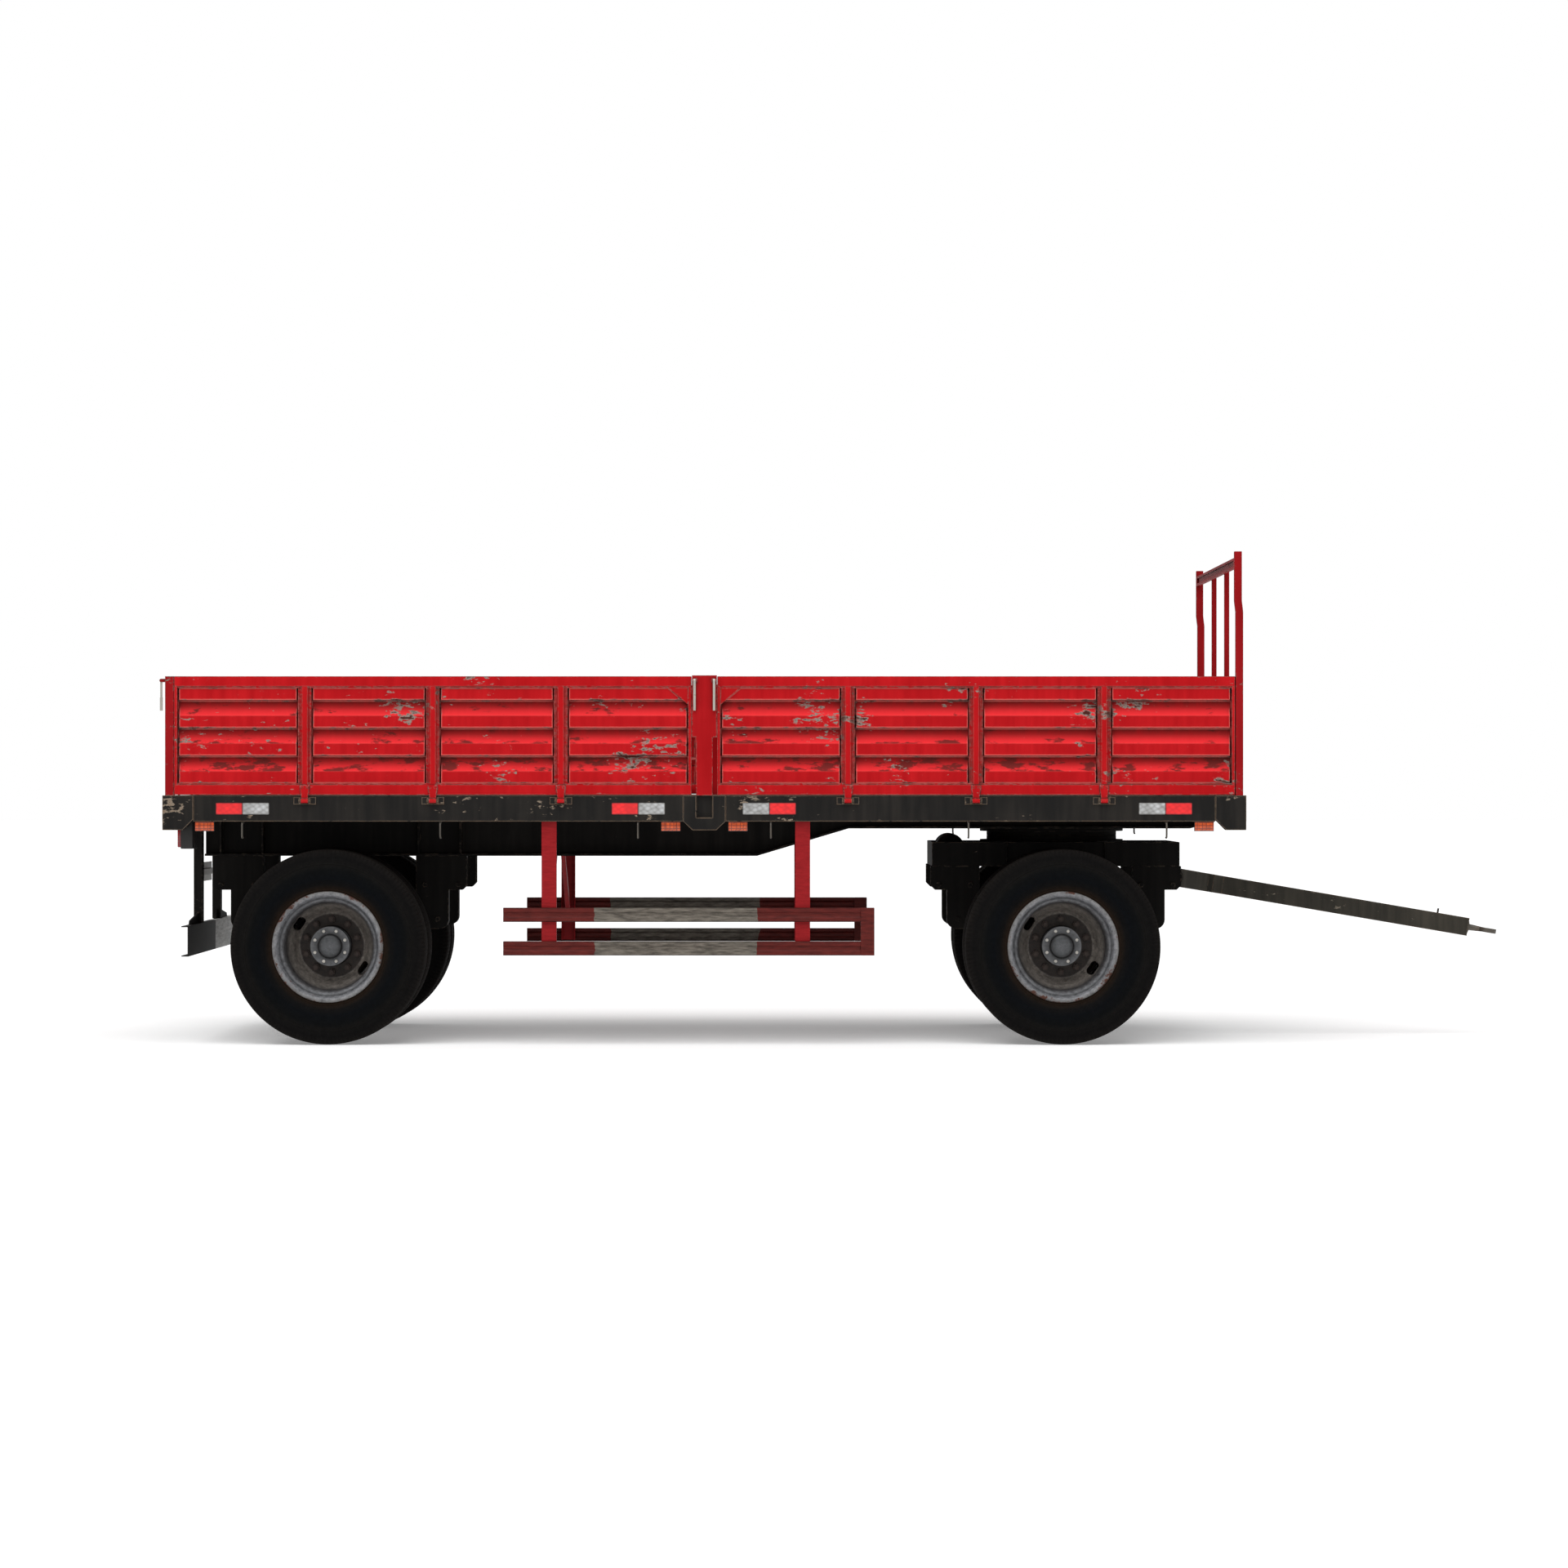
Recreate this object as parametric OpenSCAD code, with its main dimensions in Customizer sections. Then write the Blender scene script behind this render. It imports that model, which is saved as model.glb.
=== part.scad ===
// Two-axle drop-side trailer with a turntable-steered front axle, dual wheels and an A-frame towing bar.
// +X is forward, +Y is the left side, Z = 0 is the ground under the tyres.
// The origin is under the middle of the overall length and width. All sizes are in millimetres.

/* [Load bed] */
// Length of the load bed over its end faces
bed_l = 5805; // [5400:5:7000]
// Width of the load bed over its corner castings
bed_w = 2500; // [2400:10:3000]
// Height of the deck above the ground
deck_z = 1339; // [1300:1:1600]
// Height of the edge rails under the drop sides
rail_h = 140; // [120:2:170]
// Height of the drop sides above the deck
board_h = 638; // [530:1:770]
// Thickness of the drop sides
board_t = 50; // [44:1:60]
// Top of the ladder rack above the ground
rack_z = 2646; // [2250:2:3150]

/* [Wheels and axles] */
// Distance between the two axles
wheelbase = 3946; // [3300:2:4740]
// Rear face of the bed to the rear axle
rear_overhang = 881; // [820:1:1060]
// Outside diameter of the tyres
tyre_d = 1050; // [875:2:1090]
// Width of one tyre
tyre_w = 279; // [240:1:300]
// Distance between the middles of the two tyres on one hub
dual_pitch = 330; // [312:1:345]
// Width over the outer tyres
gear_w = 2460; // [2400:5:2500]
// Side of the square axle beams
axle_beam = 150; // [120:1:160]
// Distance of the leaf springs from the centre line
spring_y = 425; // [410:1:440]

/* [Chassis] */
// Distance of the main beams from the centre line
beam_y = 430; // [415:1:445]
// Height of the main beams at their deep part
beam_h = 245; // [200:1:260]
// Outside diameter of the turntable flanges
turn_d = 800; // [780:2:900]
// Length of the front frame that the turntable carries
bogie_l = 1364; // [1340:2:1500]
// Length of the side guards
guard_l = 1989; // [1600:1:2100]

/* [Towing bar] */
// Pivot to the middle of the towing eye
bar_l = 1808; // [1500:1:2170]
// Height of the pivot above the ground
pivot_z = 885; // [860:1:900]
// Angle of the bar below level
bar_slope = 9.7; // [5:0.1:14]
// Side of the square tube
bar_s = 100; // [80:1:110]
// Diameter of the hole in the towing eye
eye_bore = 40; // [34:1:50]

/* [Latches] */
// Length of a latch lever
lever_l = 171; // [140:1:205]
// Width of a latch lever
lever_w = 13; // [10:1:15]

/* [Hidden] */
$fn = 48;
eps = 0.5;

// Positions along the length, from the rear face of the bed
lever_out = 18;        // the tail levers stand behind the bed by this much
pivot_out = 662;       // front axle to the bar's pivot
eye_r = 49;
reach = bar_l * cos(bar_slope);
total_l = lever_out + rear_overhang + wheelbase + pivot_out + reach + eye_r;
bed_x0 = -total_l / 2 + lever_out;
bed_x1 = bed_x0 + bed_l;
bed_cx = (bed_x0 + bed_x1) / 2;
rear_x = bed_x0 + rear_overhang;
front_x = rear_x + wheelbase;
pivot_x = front_x + pivot_out;
axle_z = tyre_d / 2;

// Bed frame
half_w = bed_w / 2;
rail_in = 6;           // the rails stand this far inside the corner castings
rail_w = 80;
weld_gap = 0.2;         // open root of the welds at the ends of the rails
rail_y = half_w - rail_in;
wall = 6;
deck_t = 4;
block_l = 165;
block_d = rail_w + rail_in;
block_drop = 46;
socket_w = 227;
socket_foot = 127;
cross_h = 86;
beam_top = deck_z - deck_t - cross_h;
post_gap = 2.5;
post_w = 133;
board_gap = 3;
rear_post_l = 46;
rear_post_x = bed_x0 + 15;
front_post = 40;
front_post_x = bed_x1 - 57;
board_x0 = rear_post_x + rear_post_l + 2;
board_x1 = front_post_x - 4;
headboard_t = front_post_x + front_post - board_x1 - 1;   // its back stops 1 short of the side boards
board_in = post_w / 2 + post_gap;
tail_x = bed_x0 + 12;   // rear face of the tailgate

// Hinges of the drop sides: the pin stands outside the board's face and below its foot
pin_out = 12;
pin_drop = 29;
pin_r = 6;
run_fit = 0.05;
strap_w = 40;
knuckle_r = 12;
rib_w = 70;
rib_pitch = 0.2475;    // rib spacing as a share of the board's length

// Chassis heights
beam_low = beam_top - beam_h;
neck_z = deck_z - 184;
turn_h = 75;
bogie_top = neck_z - turn_h;
bogie_h = 133;
bogie_low = bogie_top - bogie_h;
flange_w = 120;
flange_t = 12;
hanger_w = 100;
bogie_box = 80;

// Springs
leaf_n = 8;
leaf_t = 12;
leaf_w = 76;
leaf_r = 2300;
leaf_half = 560;
seat_h = 20;
spring_z = axle_z + axle_beam / 2 + seat_h;
spring_top = spring_z + leaf_n * leaf_t;

// Wheels: distances outward from the centre line
outer_y = gear_w / 2 - tyre_w / 2;
inner_y = outer_y - dual_pitch;
mount_y = outer_y - dual_pitch / 2;
rim_half = 104.75;
bead_r = 285.7;
disc_t = 11;
stud_pcd = 285.75;
stud_n = 10;
stud_r = 11;
hub_r = 109.5;
spindle_r = 45;

module sides() { children(); mirror([0, 1, 0]) children(); }

// A closed rectangular tube along X, from the origin, centred on Y and Z
module tube_x(l, w, h, t) {
    difference() {
        translate([0, -w / 2, -h / 2]) cube([l, w, h]);
        translate([t, -w / 2 + t, -h / 2 + t]) cube([l - 2 * t, w - 2 * t, h - 2 * t]);
    }
}

// A channel along Y with its back at the rear, from the origin up
module channel_y(l, w, h, t) {
    translate([0, l / 2, 0]) rotate([90, 0, 0])
        linear_extrude(l) polygon([[0, 0], [w, 0], [w, t], [t, t], [t, h - t], [w, h - t], [w, h], [0, h]]);
}

// ---- Chassis ---------------------------------------------------------------------------------
neck_x0 = front_x - 1647;
neck_x1 = front_x - 1142;
nose_x0 = bed_x1 - 241;
nose_x1 = bed_x1 - 106;
beam_x0 = bed_x0 + 139;

// The underside of a main beam, raised by d
function belly(d) = [[beam_x0, beam_low + d], [neck_x0, beam_low + d], [neck_x1, neck_z + d],
                     [nose_x0, neck_z + d], [nose_x1, neck_z + 35 + d]];

module on_y(y, w) { translate([0, y + w / 2, 0]) rotate([90, 0, 0]) linear_extrude(w) children(); }

module main_beams() {
    color("#1d1c1a") sides() {
        on_y(beam_y, 10) polygon(concat(belly(0), [[nose_x1, beam_top], [beam_x0, beam_top]]));
        on_y(beam_y, flange_w)
            polygon(concat(belly(0), [for (i = [4:-1:0]) belly(flange_t)[i]]));
        translate([beam_x0, beam_y - flange_w / 2, beam_top - flange_t])
            cube([nose_x1 - beam_x0, flange_w, flange_t]);
        // stiffeners over the spring hangers
        for (s = [-1, 1], o = [430, 660])
            translate([rear_x + s * o, beam_y - 54, beam_low + eps]) cube([10, 108, beam_h - 2 * eps]);
    }
}

cross_n = 11;
cross_w = 50;
cross_x0 = bed_x0 + 420;
cross_x1 = bed_x1 - 330;
module cross_members() {
    color("#1d1c1a") {
        for (i = [0:cross_n - 1])
            translate([cross_x0 + (cross_x1 - cross_x0) * i / (cross_n - 1) - cross_w / 2, 0, beam_top])
                channel_y(2 * (rail_y - rail_w), cross_w, cross_h, 5);
        // rear box that carries the bumper and the lamps
        translate([bed_x0 + 80, 0, (deck_z - deck_t + deck_z - rail_h) / 2])
            rotate([0, 0, 90]) translate([-half_w + block_d, -59 / 2, 0])
                tube_x(bed_w - 2 * block_d, 59, rail_h - deck_t, wall);
        // ties between the beams over the turntable
        for (s = [-1, 1]) translate([front_x + s * 330 - 25, 0, neck_z + flange_t])
            channel_y(2 * beam_y - 10, 50, beam_top - neck_z - 2 * flange_t, 6);
        for (o = [0.2, 0.5, 0.8]) translate([rear_x + (neck_x0 - rear_x) * o, 0, beam_low + flange_t + 40])
            channel_y(2 * beam_y - 10, 60, 120, 6);
    }
}

module side_rails() {
    color("#1d1c1a") sides() {
        for (span = [[bed_x0 + block_l, bed_cx - socket_w / 2], [bed_cx + socket_w / 2, bed_x1 - block_l]])
            translate([span[0] + weld_gap, rail_y - rail_w / 2, deck_z - rail_h / 2])
                tube_x(span[1] - span[0] - 2 * weld_gap, rail_w, rail_h, wall);
    }
}

tail_rail_w = bed_x0 + 80 - tail_x - rail_in;   // from behind the tailgate to the edge of the deck
module end_rails() {
    color("#1d1c1a") {
        translate([tail_x + rail_in, half_w - block_d, deck_z - rail_h / 2]) rotate([0, 0, -90])
            translate([0, tail_rail_w / 2, 0]) tube_x(bed_w - 2 * block_d, tail_rail_w, rail_h, wall);
        translate([bed_x1 - rail_w, half_w - block_d, deck_z - rail_h / 2]) rotate([0, 0, -90])
            translate([0, rail_w / 2, 0]) tube_x(bed_w - 2 * block_d, rail_w, rail_h, wall);
    }
}

module deck_floor() {
    color("#5a2a24")
        translate([bed_x0 + 80, -rail_y + rail_w, deck_z - deck_t])
            cube([bed_l - 80 - rail_w, 2 * (rail_y - rail_w), deck_t]);
}

// Castings at the four corners, seen from the side as a box with one corner cut off below
module corner_blocks() {
    low = deck_z - rail_h - block_drop;
    color("#1d1c1a") sides() {
        on_y(half_w - block_d / 2, block_d)
            polygon([[bed_x0, low], [bed_x0 + block_l - 57, low], [bed_x0 + block_l, low + 57],
                     [bed_x0 + block_l, deck_z], [bed_x0, deck_z]]);
        on_y(half_w - block_d / 2, block_d)
            polygon([[bed_x1, low], [bed_x1 - block_l + 57, low], [bed_x1 - block_l, low + 57],
                     [bed_x1 - block_l, deck_z], [bed_x1, deck_z]]);
    }
}

pocket_d = 24;
post_foot_w = 88;
module post_sockets() {
    color("#1d1c1a") sides() difference() {
        on_y(half_w - (rail_w + rail_in) / 2, rail_w + rail_in)
            polygon([[bed_cx - socket_w / 2, deck_z], [bed_cx + socket_w / 2, deck_z],
                     [bed_cx + socket_w / 2, deck_z - rail_h], [bed_cx + socket_foot / 2, deck_z - rail_h - 47],
                     [bed_cx - socket_foot / 2, deck_z - rail_h - 47], [bed_cx - socket_w / 2, deck_z - rail_h]]);
        translate([bed_cx - post_foot_w / 2, half_w - pocket_d, deck_z - rail_h + 20])
            cube([post_foot_w, pocket_d + 1, rail_h]);
    }
}

// ---- Posts and latches -----------------------------------------------------------------------
ear_t = 4;
ear_gap = 1;
latch_pin_r = 4;
latch_out = 12;
latch_z = deck_z + board_h - 22;

// Two ears and their pin on a face whose normal is +Y, with the pin along X at the origin
module latch_ears(out) {
    for (s = [-1, 1]) translate([s * (lever_w / 2 + ear_gap + ear_t / 2) - ear_t / 2, 0, 0]) {
        translate([0, -out, -9]) cube([ear_t, out, 18]);
        rotate([0, 90, 0]) cylinder(r = 9, h = ear_t);
    }
    translate([-lever_w / 2 - ear_gap - ear_t, 0, 0]) rotate([0, 90, 0])
        cylinder(r = latch_pin_r, h = lever_w + 2 * (ear_gap + ear_t));
}

// A flat lever hanging from its pin, with a thickened grip
module latch_lever() {
    color("#b5b0a8") difference() {
        union() {
            translate([-lever_w / 2, 0, 0]) rotate([0, 90, 0]) cylinder(r = 9, h = lever_w);
            translate([-lever_w / 2, -5, -lever_l + 9]) cube([lever_w, 10, lever_l - 9]);
            translate([-lever_w / 2, -7, -lever_l + 9]) cube([lever_w, 14, lever_l * 0.42]);
        }
        translate([-lever_w, 0, 0]) rotate([0, 90, 0])
            cylinder(r = latch_pin_r + run_fit, h = 2 * lever_w);
    }
}

latch_x = 52.5;
post_neck = 312;
module centre_posts() {
    color("#b8141c") sides() {
        translate([bed_cx - post_w / 2, half_w - board_t, deck_z + post_neck])
            cube([post_w, board_t, board_h - post_neck + 5]);
        translate([bed_cx - post_foot_w / 2, half_w - board_t, deck_z]) cube([post_foot_w, board_t, post_neck + 1]);
        for (s = [-1, 1]) translate([bed_cx + s * latch_x, half_w + latch_out, latch_z]) latch_ears(latch_out + 1);
    }
}

rear_post_y = 60;
tail_lever_y = half_w - 30;
tail_pin_x = bed_x0 - 9;
module rear_posts() {
    color("#b8141c") sides() {
        translate([rear_post_x, half_w - rear_post_y, deck_z]) cube([rear_post_l, rear_post_y, board_h]);
        translate([tail_pin_x, tail_lever_y, latch_z]) rotate([0, 0, 90])
            latch_ears(rear_post_x - tail_pin_x + 1);
    }
}

rack_bend = 2322 - 1339;
rack_back = 7;
bar_w = 27;
module rack_uprights() {
    bend = deck_z + rack_bend * (rack_z - deck_z) / 1307;
    color("#b8141c") {
        sides() on_y(half_w - front_post / 2, front_post)
            polygon([[front_post_x, deck_z], [front_post_x + front_post, deck_z], [front_post_x + front_post, bend],
                     [front_post_x + front_post - rack_back, bend + 60], [front_post_x + front_post - rack_back, rack_z],
                     [front_post_x - rack_back, rack_z], [front_post_x - rack_back, bend + 60], [front_post_x, bend]]);
        for (s = [-1, 1]) translate([front_post_x + front_post - bar_w, s * (half_w - front_post) / 3 - bar_w / 2,
                                     deck_z + board_h])
            cube([bar_w, bar_w, rack_z - 26 - deck_z - board_h]);
    }
}

module rack_rail() {
    color("#b8141c")
        translate([front_post_x + front_post - bar_w - 20, -half_w + front_post, rack_z - 89])
            difference() {
                cube([20, bed_w - 2 * front_post, 56]);
                translate([-1, 30, 14]) cube([13, bed_w - 2 * front_post - 60, 28]);
            }
}

// ---- Pressed boards --------------------------------------------------------------------------
sheet_t = 4;
flat_in = 10;
press_d = 25;
press_slope = 20;
stile_w = 17;
top_h = 55;
foot_h = 58;

// A line of [depth, height] points down the pressed sheet of a board of height h
function pressing(h, d) = let (k = h / 638)
    concat([[-flat_in - d, foot_h - 2]],
           [for (i = [0:2]) let (z = (129 + 149 * i) * k, e = 86 * k)
               each [[-flat_in - d, z], [-flat_in - press_d - d, z + press_slope],
                     [-flat_in - press_d - d, z + e - press_slope], [-flat_in - d, z + e]]],
           [[-flat_in - d, h - top_h + 2]]);

function rib_at(l, i) = l / 2 + (i - 1) * rib_pitch * l;

// A board lying along +X from the origin, its outer face on Y = 0 and its foot on Z = 0
module pressed_board(l, h, t, gap, hinges) {
    outer = pressing(h, 0);
    inner = pressing(h, sheet_t);
    n = len(outer);
    translate([0, -t, gap]) cube([l, t, foot_h - gap]);
    translate([0, -t, h - top_h]) cube([l, t, top_h]);
    for (x = [0, l - stile_w]) translate([x, -t, gap]) cube([stile_w, t, h - gap]);
    translate([stile_w - 1, 0, 0]) rotate([90, 0, 90]) linear_extrude(l - 2 * stile_w + 2)
        polygon(concat(outer, [for (i = [n - 1:-1:0]) inner[i]]));
    for (i = [0:2]) translate([rib_at(l, i), 0, 0]) {
        translate([-rib_w / 2, -44, foot_h - 1]) cube([rib_w, 38, h - foot_h - top_h + 2]);
        translate([-22, -44, foot_h - 1]) cube([44, 44, h - foot_h - top_h + 2]);
        if (hinges) difference() {
            union() {
                translate([-strap_w / 2, 0, -pin_drop]) cube([strap_w, 8, pin_drop + foot_h]);
                translate([-strap_w / 2, pin_out, -pin_drop]) rotate([0, 90, 0]) cylinder(r = knuckle_r, h = strap_w);
                for (s = [-9, 9]) translate([s, 7, foot_h - 15]) rotate([-90, 0, 0]) cylinder(r = 5, h = 4);
            }
            translate([-strap_w, pin_out, -pin_drop]) rotate([0, 90, 0])
                cylinder(r = pin_r + run_fit, h = 2 * strap_w);
        }
    }
}

board_len_r = bed_cx - board_in - board_x0;
board_len_f = board_x1 - bed_cx - board_in;
module left_board(x, l) { color("#c0101c") translate([x, half_w, deck_z]) pressed_board(l, board_h, board_t, board_gap, true); }
module board_front_left() { left_board(bed_cx + board_in, board_len_f); }
module board_front_right() { mirror([0, 1, 0]) board_front_left(); }
module board_rear_left() { left_board(board_x0, board_len_r); }
module board_rear_right() { mirror([0, 1, 0]) board_rear_left(); }

gate_l = 2 * (half_w - rear_post_y - 3);
module tailgate() {
    color("#c0101c") translate([tail_x, -gate_l / 2, deck_z]) rotate([0, 0, 90])
        pressed_board(gate_l, board_h, board_t, board_gap, true);
}

module headboard() {
    color("#c0101c") translate([front_post_x + front_post, half_w - front_post, deck_z]) rotate([0, 0, -90])
        translate([0, 0, 0]) pressed_board(bed_w - 2 * front_post, board_h, headboard_t, 0, false);
}

// The rail's half of a hinge: a plate, two ears and the pin, with the pin along X at the origin
module hinge_bracket() {
    base = -pin_out - rail_in;
    translate([-60, base, -20]) cube([120, 5, 40]);
    for (s = [-1, 1]) translate([s * (strap_w / 2 + 5.5) - 4, base + 1, 0]) {
        translate([0, 0, -14]) cube([8, -base, 28]);
        translate([0, -base - 1, 0]) rotate([0, 90, 0]) cylinder(r = 11, h = 8);
    }
    translate([-strap_w / 2 - 12, 0, 0]) rotate([0, 90, 0]) cylinder(r = pin_r, h = strap_w + 24);
}

module hinge_brackets() {
    color("#1d1c1a") {
        for (i = [0:2]) {
            sides() for (x = [board_x0 + rib_at(board_len_r, i), bed_cx + board_in + rib_at(board_len_f, i)])
                translate([x, half_w + pin_out, deck_z - pin_drop]) hinge_bracket();
            translate([tail_x - pin_out, -gate_l / 2 + rib_at(gate_l, i), deck_z - pin_drop]) rotate([0, 0, 90])
                hinge_bracket();
        }
    }
}

// ---- Small fittings on the bed ---------------------------------------------------------------
hook_r = 5;
hook_turn = 20;
hook_h = 92;
hook_out = half_w - hook_r;   // the bow of the hook is flush with the castings
// C-shaped tie hooks welded under the rails, bowed outward: the module draws one in its own plane
module tie_hook() {
    up = -hook_r - hook_turn;
    low = -hook_h + hook_r + hook_turn;
    translate([-hook_turn, up, 0]) rotate_extrude(angle = 90) translate([hook_turn, 0]) circle(r = hook_r);
    translate([-hook_turn, low, 0]) rotate([0, 0, -90])
        rotate_extrude(angle = 90) translate([hook_turn, 0]) circle(r = hook_r);
    translate([0, low, 0]) rotate([-90, 0, 0]) cylinder(r = hook_r, h = up - low);
    translate([-hook_turn, up + hook_turn, 0]) rotate([0, -90, 0]) cylinder(r = hook_r, h = 48);
    translate([-hook_turn, low - hook_turn, 0]) rotate([0, -90, 0]) cylinder(r = hook_r, h = 26);
}

module rope_hooks() {
    color("#2a2825") sides() for (s = [-1, 1], o = [356, 1415, 2476])
        translate([bed_cx + s * o * bed_l / 5805, hook_out, deck_z - rail_h]) rotate([90, 0, 90]) tie_hook();
}

tape_half = 142;
tape_h = 62;
tape_mid = [-2474, -354, 348, 2470];
module reflector_tapes() {
    color("#d01820") sides() for (o = tape_mid, s = [-1, 1])
        translate([bed_cx + o * bed_l / 5805 + (s < 0 ? -tape_half : 0.6), rail_y, deck_z - 102])
            cube([tape_half - 0.6, 1, tape_h]);
}

marker_l = 105;
marker_h = 46;
module side_markers() {
    color("#e0550a") sides() for (o = [-2678, -180, 180, 2678])
        translate([bed_cx + o * bed_l / 5805 - marker_l / 2, half_w - 36, deck_z - rail_h - 6 - marker_h]) {
            cube([marker_l, 20, marker_h]);
            translate([4, 19, 4]) cube([marker_l - 8, 15, marker_h - 8]);
            translate([marker_l / 2 - 20, 4, marker_h - 1]) cube([40, 8, 7]);
        }
}

bumper_x = bed_x0 + 89;
bumper_z0 = 472;
bumper_h = 164;
upright_y = 445;
upright_w = 80;
module underride_bar() {
    color("#1d1c1a") translate([bumper_x + 40, 0, bumper_z0]) mirror([1, 0, 0])
        channel_y(2300, 40, bumper_h, 6);
}

module underride_uprights() {
    top = deck_z - rail_h;
    z0 = bumper_z0 + bumper_h;
    color("#1d1c1a") sides() {
        translate([bumper_x - 11, upright_y - upright_w / 2, z0]) cube([47, upright_w, top - z0]);
        on_x = bumper_x + 8;
        translate([on_x, upright_y, z0]) rotate([90, 0, 90]) linear_extrude(12)
            polygon([[upright_w / 2 - 1, 0], [upright_w / 2 + 410, 0], [upright_w / 2 + 380, 22], [upright_w / 2 - 1, 57]]);
        translate([on_x, upright_y, z0]) rotate([90, 0, 90]) linear_extrude(12)
            polygon([[-upright_w / 2 + 1, 0], [-upright_w / 2 - 120, 0], [-upright_w / 2 - 90, 22], [-upright_w / 2 + 1, 57]]);
    }
}

lamp_w = 250;
lamp_h = 106;
module tail_lamps() {
    color("#a01218") sides() translate([bed_x0 + 65, 880, deck_z - rail_h - 154 + 6]) {
        cube([17, lamp_w, lamp_h]);
        translate([16, 8, 4]) cube([67, lamp_w - 16, lamp_h - 8]);
        for (y = [50, lamp_w - 80]) translate([40, y, lamp_h - 5]) cube([6, 30, 154 - 6 - lamp_h + 5]);
    }
}

module number_plate() {
    color("#c8c8c4") {
        translate([bumper_x + 4, -upright_y + upright_w / 2, 895]) cube([20, 2 * upright_y - upright_w, 32]);
        translate([bumper_x, -260, 858]) cube([3, 520, 106]);
        for (y = [-180, 180]) translate([bumper_x + 2.5, y - 8, 905]) cube([3, 16, 12]);
    }
}

guard_cx = (rear_x + front_x) / 2 - 35;
guard_x0 = guard_cx - guard_l / 2;
guard_h = 76;
guard_z = [481, 661];
guard_y = half_w - 10;
// Beaded channel seen from its end, as [outward, up] points, the back open
function bead(h) = [[-26, 0], [-4, 0], [0, 4], [0, h * 0.3], [-7, h * 0.38], [-7, h * 0.62], [0, h * 0.7], [0, h - 4],
                    [-4, h], [-26, h], [-26, h - 4], [-5, h - 4], [-4, h * 0.72], [-11, h * 0.63], [-11, h * 0.37],
                    [-4, h * 0.28], [-5, 4], [-26, 4]];
guard_end = 73;
module guard_rails() {
    color("#7a2a22") sides() for (z = guard_z)
        translate([guard_x0, guard_y, z]) rotate([90, 0, 90]) linear_extrude(guard_l - guard_end) polygon(bead(guard_h));
}

support_w = 80;
support_x = [guard_cx - 750, guard_cx + 610];
module guard_supports() {
    top = deck_z - rail_h;
    color("#a01820") sides() {
        for (x = support_x) translate([x - support_w / 2, 0, 0]) {
            // upright channel with its back outside
            translate([0, guard_y - 32, guard_z[0] + 10]) cube([support_w, 6, top - guard_z[0] - 10]);
            for (e = [0, support_w - 6]) translate([e, guard_y - 66, guard_z[0] + 10]) cube([6, 35, top - guard_z[0] - 10]);
            translate([0, guard_y - 66, top - 6]) cube([support_w, 40, 6]);
            // sloping stay up to the main beam
            translate([support_w / 2 - 12, 0, 0]) rotate([90, 0, 90]) linear_extrude(24)
                polygon([[guard_y - 60, 620], [guard_y - 31, 640], [guard_y - 31, 672], [beam_y + flange_w / 2 + 30, beam_low],
                         [beam_y + flange_w / 2 - 20, beam_low]]);
        }
        translate([guard_x0 + guard_l - guard_end, guard_y - 26, guard_z[0]])
            cube([guard_end, 26, guard_z[1] + guard_h - guard_z[0]]);
    }
}

// ---- Axles, springs and hangers --------------------------------------------------------------
// A hanger pair seen from the side, for one axle, as [from the axle, up] points
module hanger_plate(top, wide) {
    low = axle_z + 77;
    step = axle_z + 292;
    polygon([[420, low], [420, top], [wide, top], [wide, step + 24], [wide - 24, step], [600, step], [600, low + 50],
             for (a = [0:15:90]) [550 + 50 * cos(a), low + 50 - 50 * sin(a)]]);
}

module hanger_set(x, top, wide) {
    slot_top = spring_top + 78;
    sides() for (s = [0, 1]) translate([x, spring_y, 0]) mirror([s, 0, 0]) {
        difference() {
            on_y(0, hanger_w) hanger_plate(top, wide);
            translate([410, -hanger_w / 2 + 10, axle_z]) cube([180, hanger_w - 20, slot_top - axle_z]);
            translate([wide - 250, -hanger_w / 2 + 10, slot_top + 30])
                cube([wide - 600 + 240, hanger_w - 20, top - slot_top - 42]);
        }
        // bolt heads
        for (p = [[wide - 45, axle_z + 320], [470, axle_z + 320], [540, axle_z + 130]])
            translate([p[0], 0, p[1]]) rotate([-90, 0, 0]) cylinder(r = 14, h = hanger_w / 2 + 9, $fn = 6);
    }
}

leaf_step = 58;        // each leaf is shorter than the one above by this much at each end
function leaf_a(i) = (leaf_half - min(i, leaf_n - 1) * leaf_step) / leaf_r * 180 / PI;
function leaf_p(i, a) = let (r = leaf_r + i * leaf_t) [r * sin(a), -r * cos(a)];
// One half of the stepped underside, from the end of the longest leaf to the middle
half_under = [for (i = [0:leaf_n - 1]) each
    concat([leaf_p(i, leaf_a(i)), leaf_p(i + 1, leaf_a(i))],
           i == leaf_n - 1 ? [] : [leaf_p(i + 1, (leaf_a(i) + leaf_a(i + 1)) / 2)])];
module leaf_pack(x) {
    n = len(half_under);
    top = [for (k = [-19:19]) leaf_p(0, leaf_a(0) * k / 20)];
    sides() translate([x, 0, spring_z + leaf_n * leaf_t + leaf_r]) on_y(spring_y, leaf_w)
        polygon(concat(top, half_under, [for (i = [n - 1:-1:0]) [-half_under[i][0], half_under[i][1]]]));
}

u_r = 9;
u_x = axle_beam / 2 + u_r + 2;
u_y = leaf_w / 2 + u_r + 2;
u_plate = 2 * u_x + 28;
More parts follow.
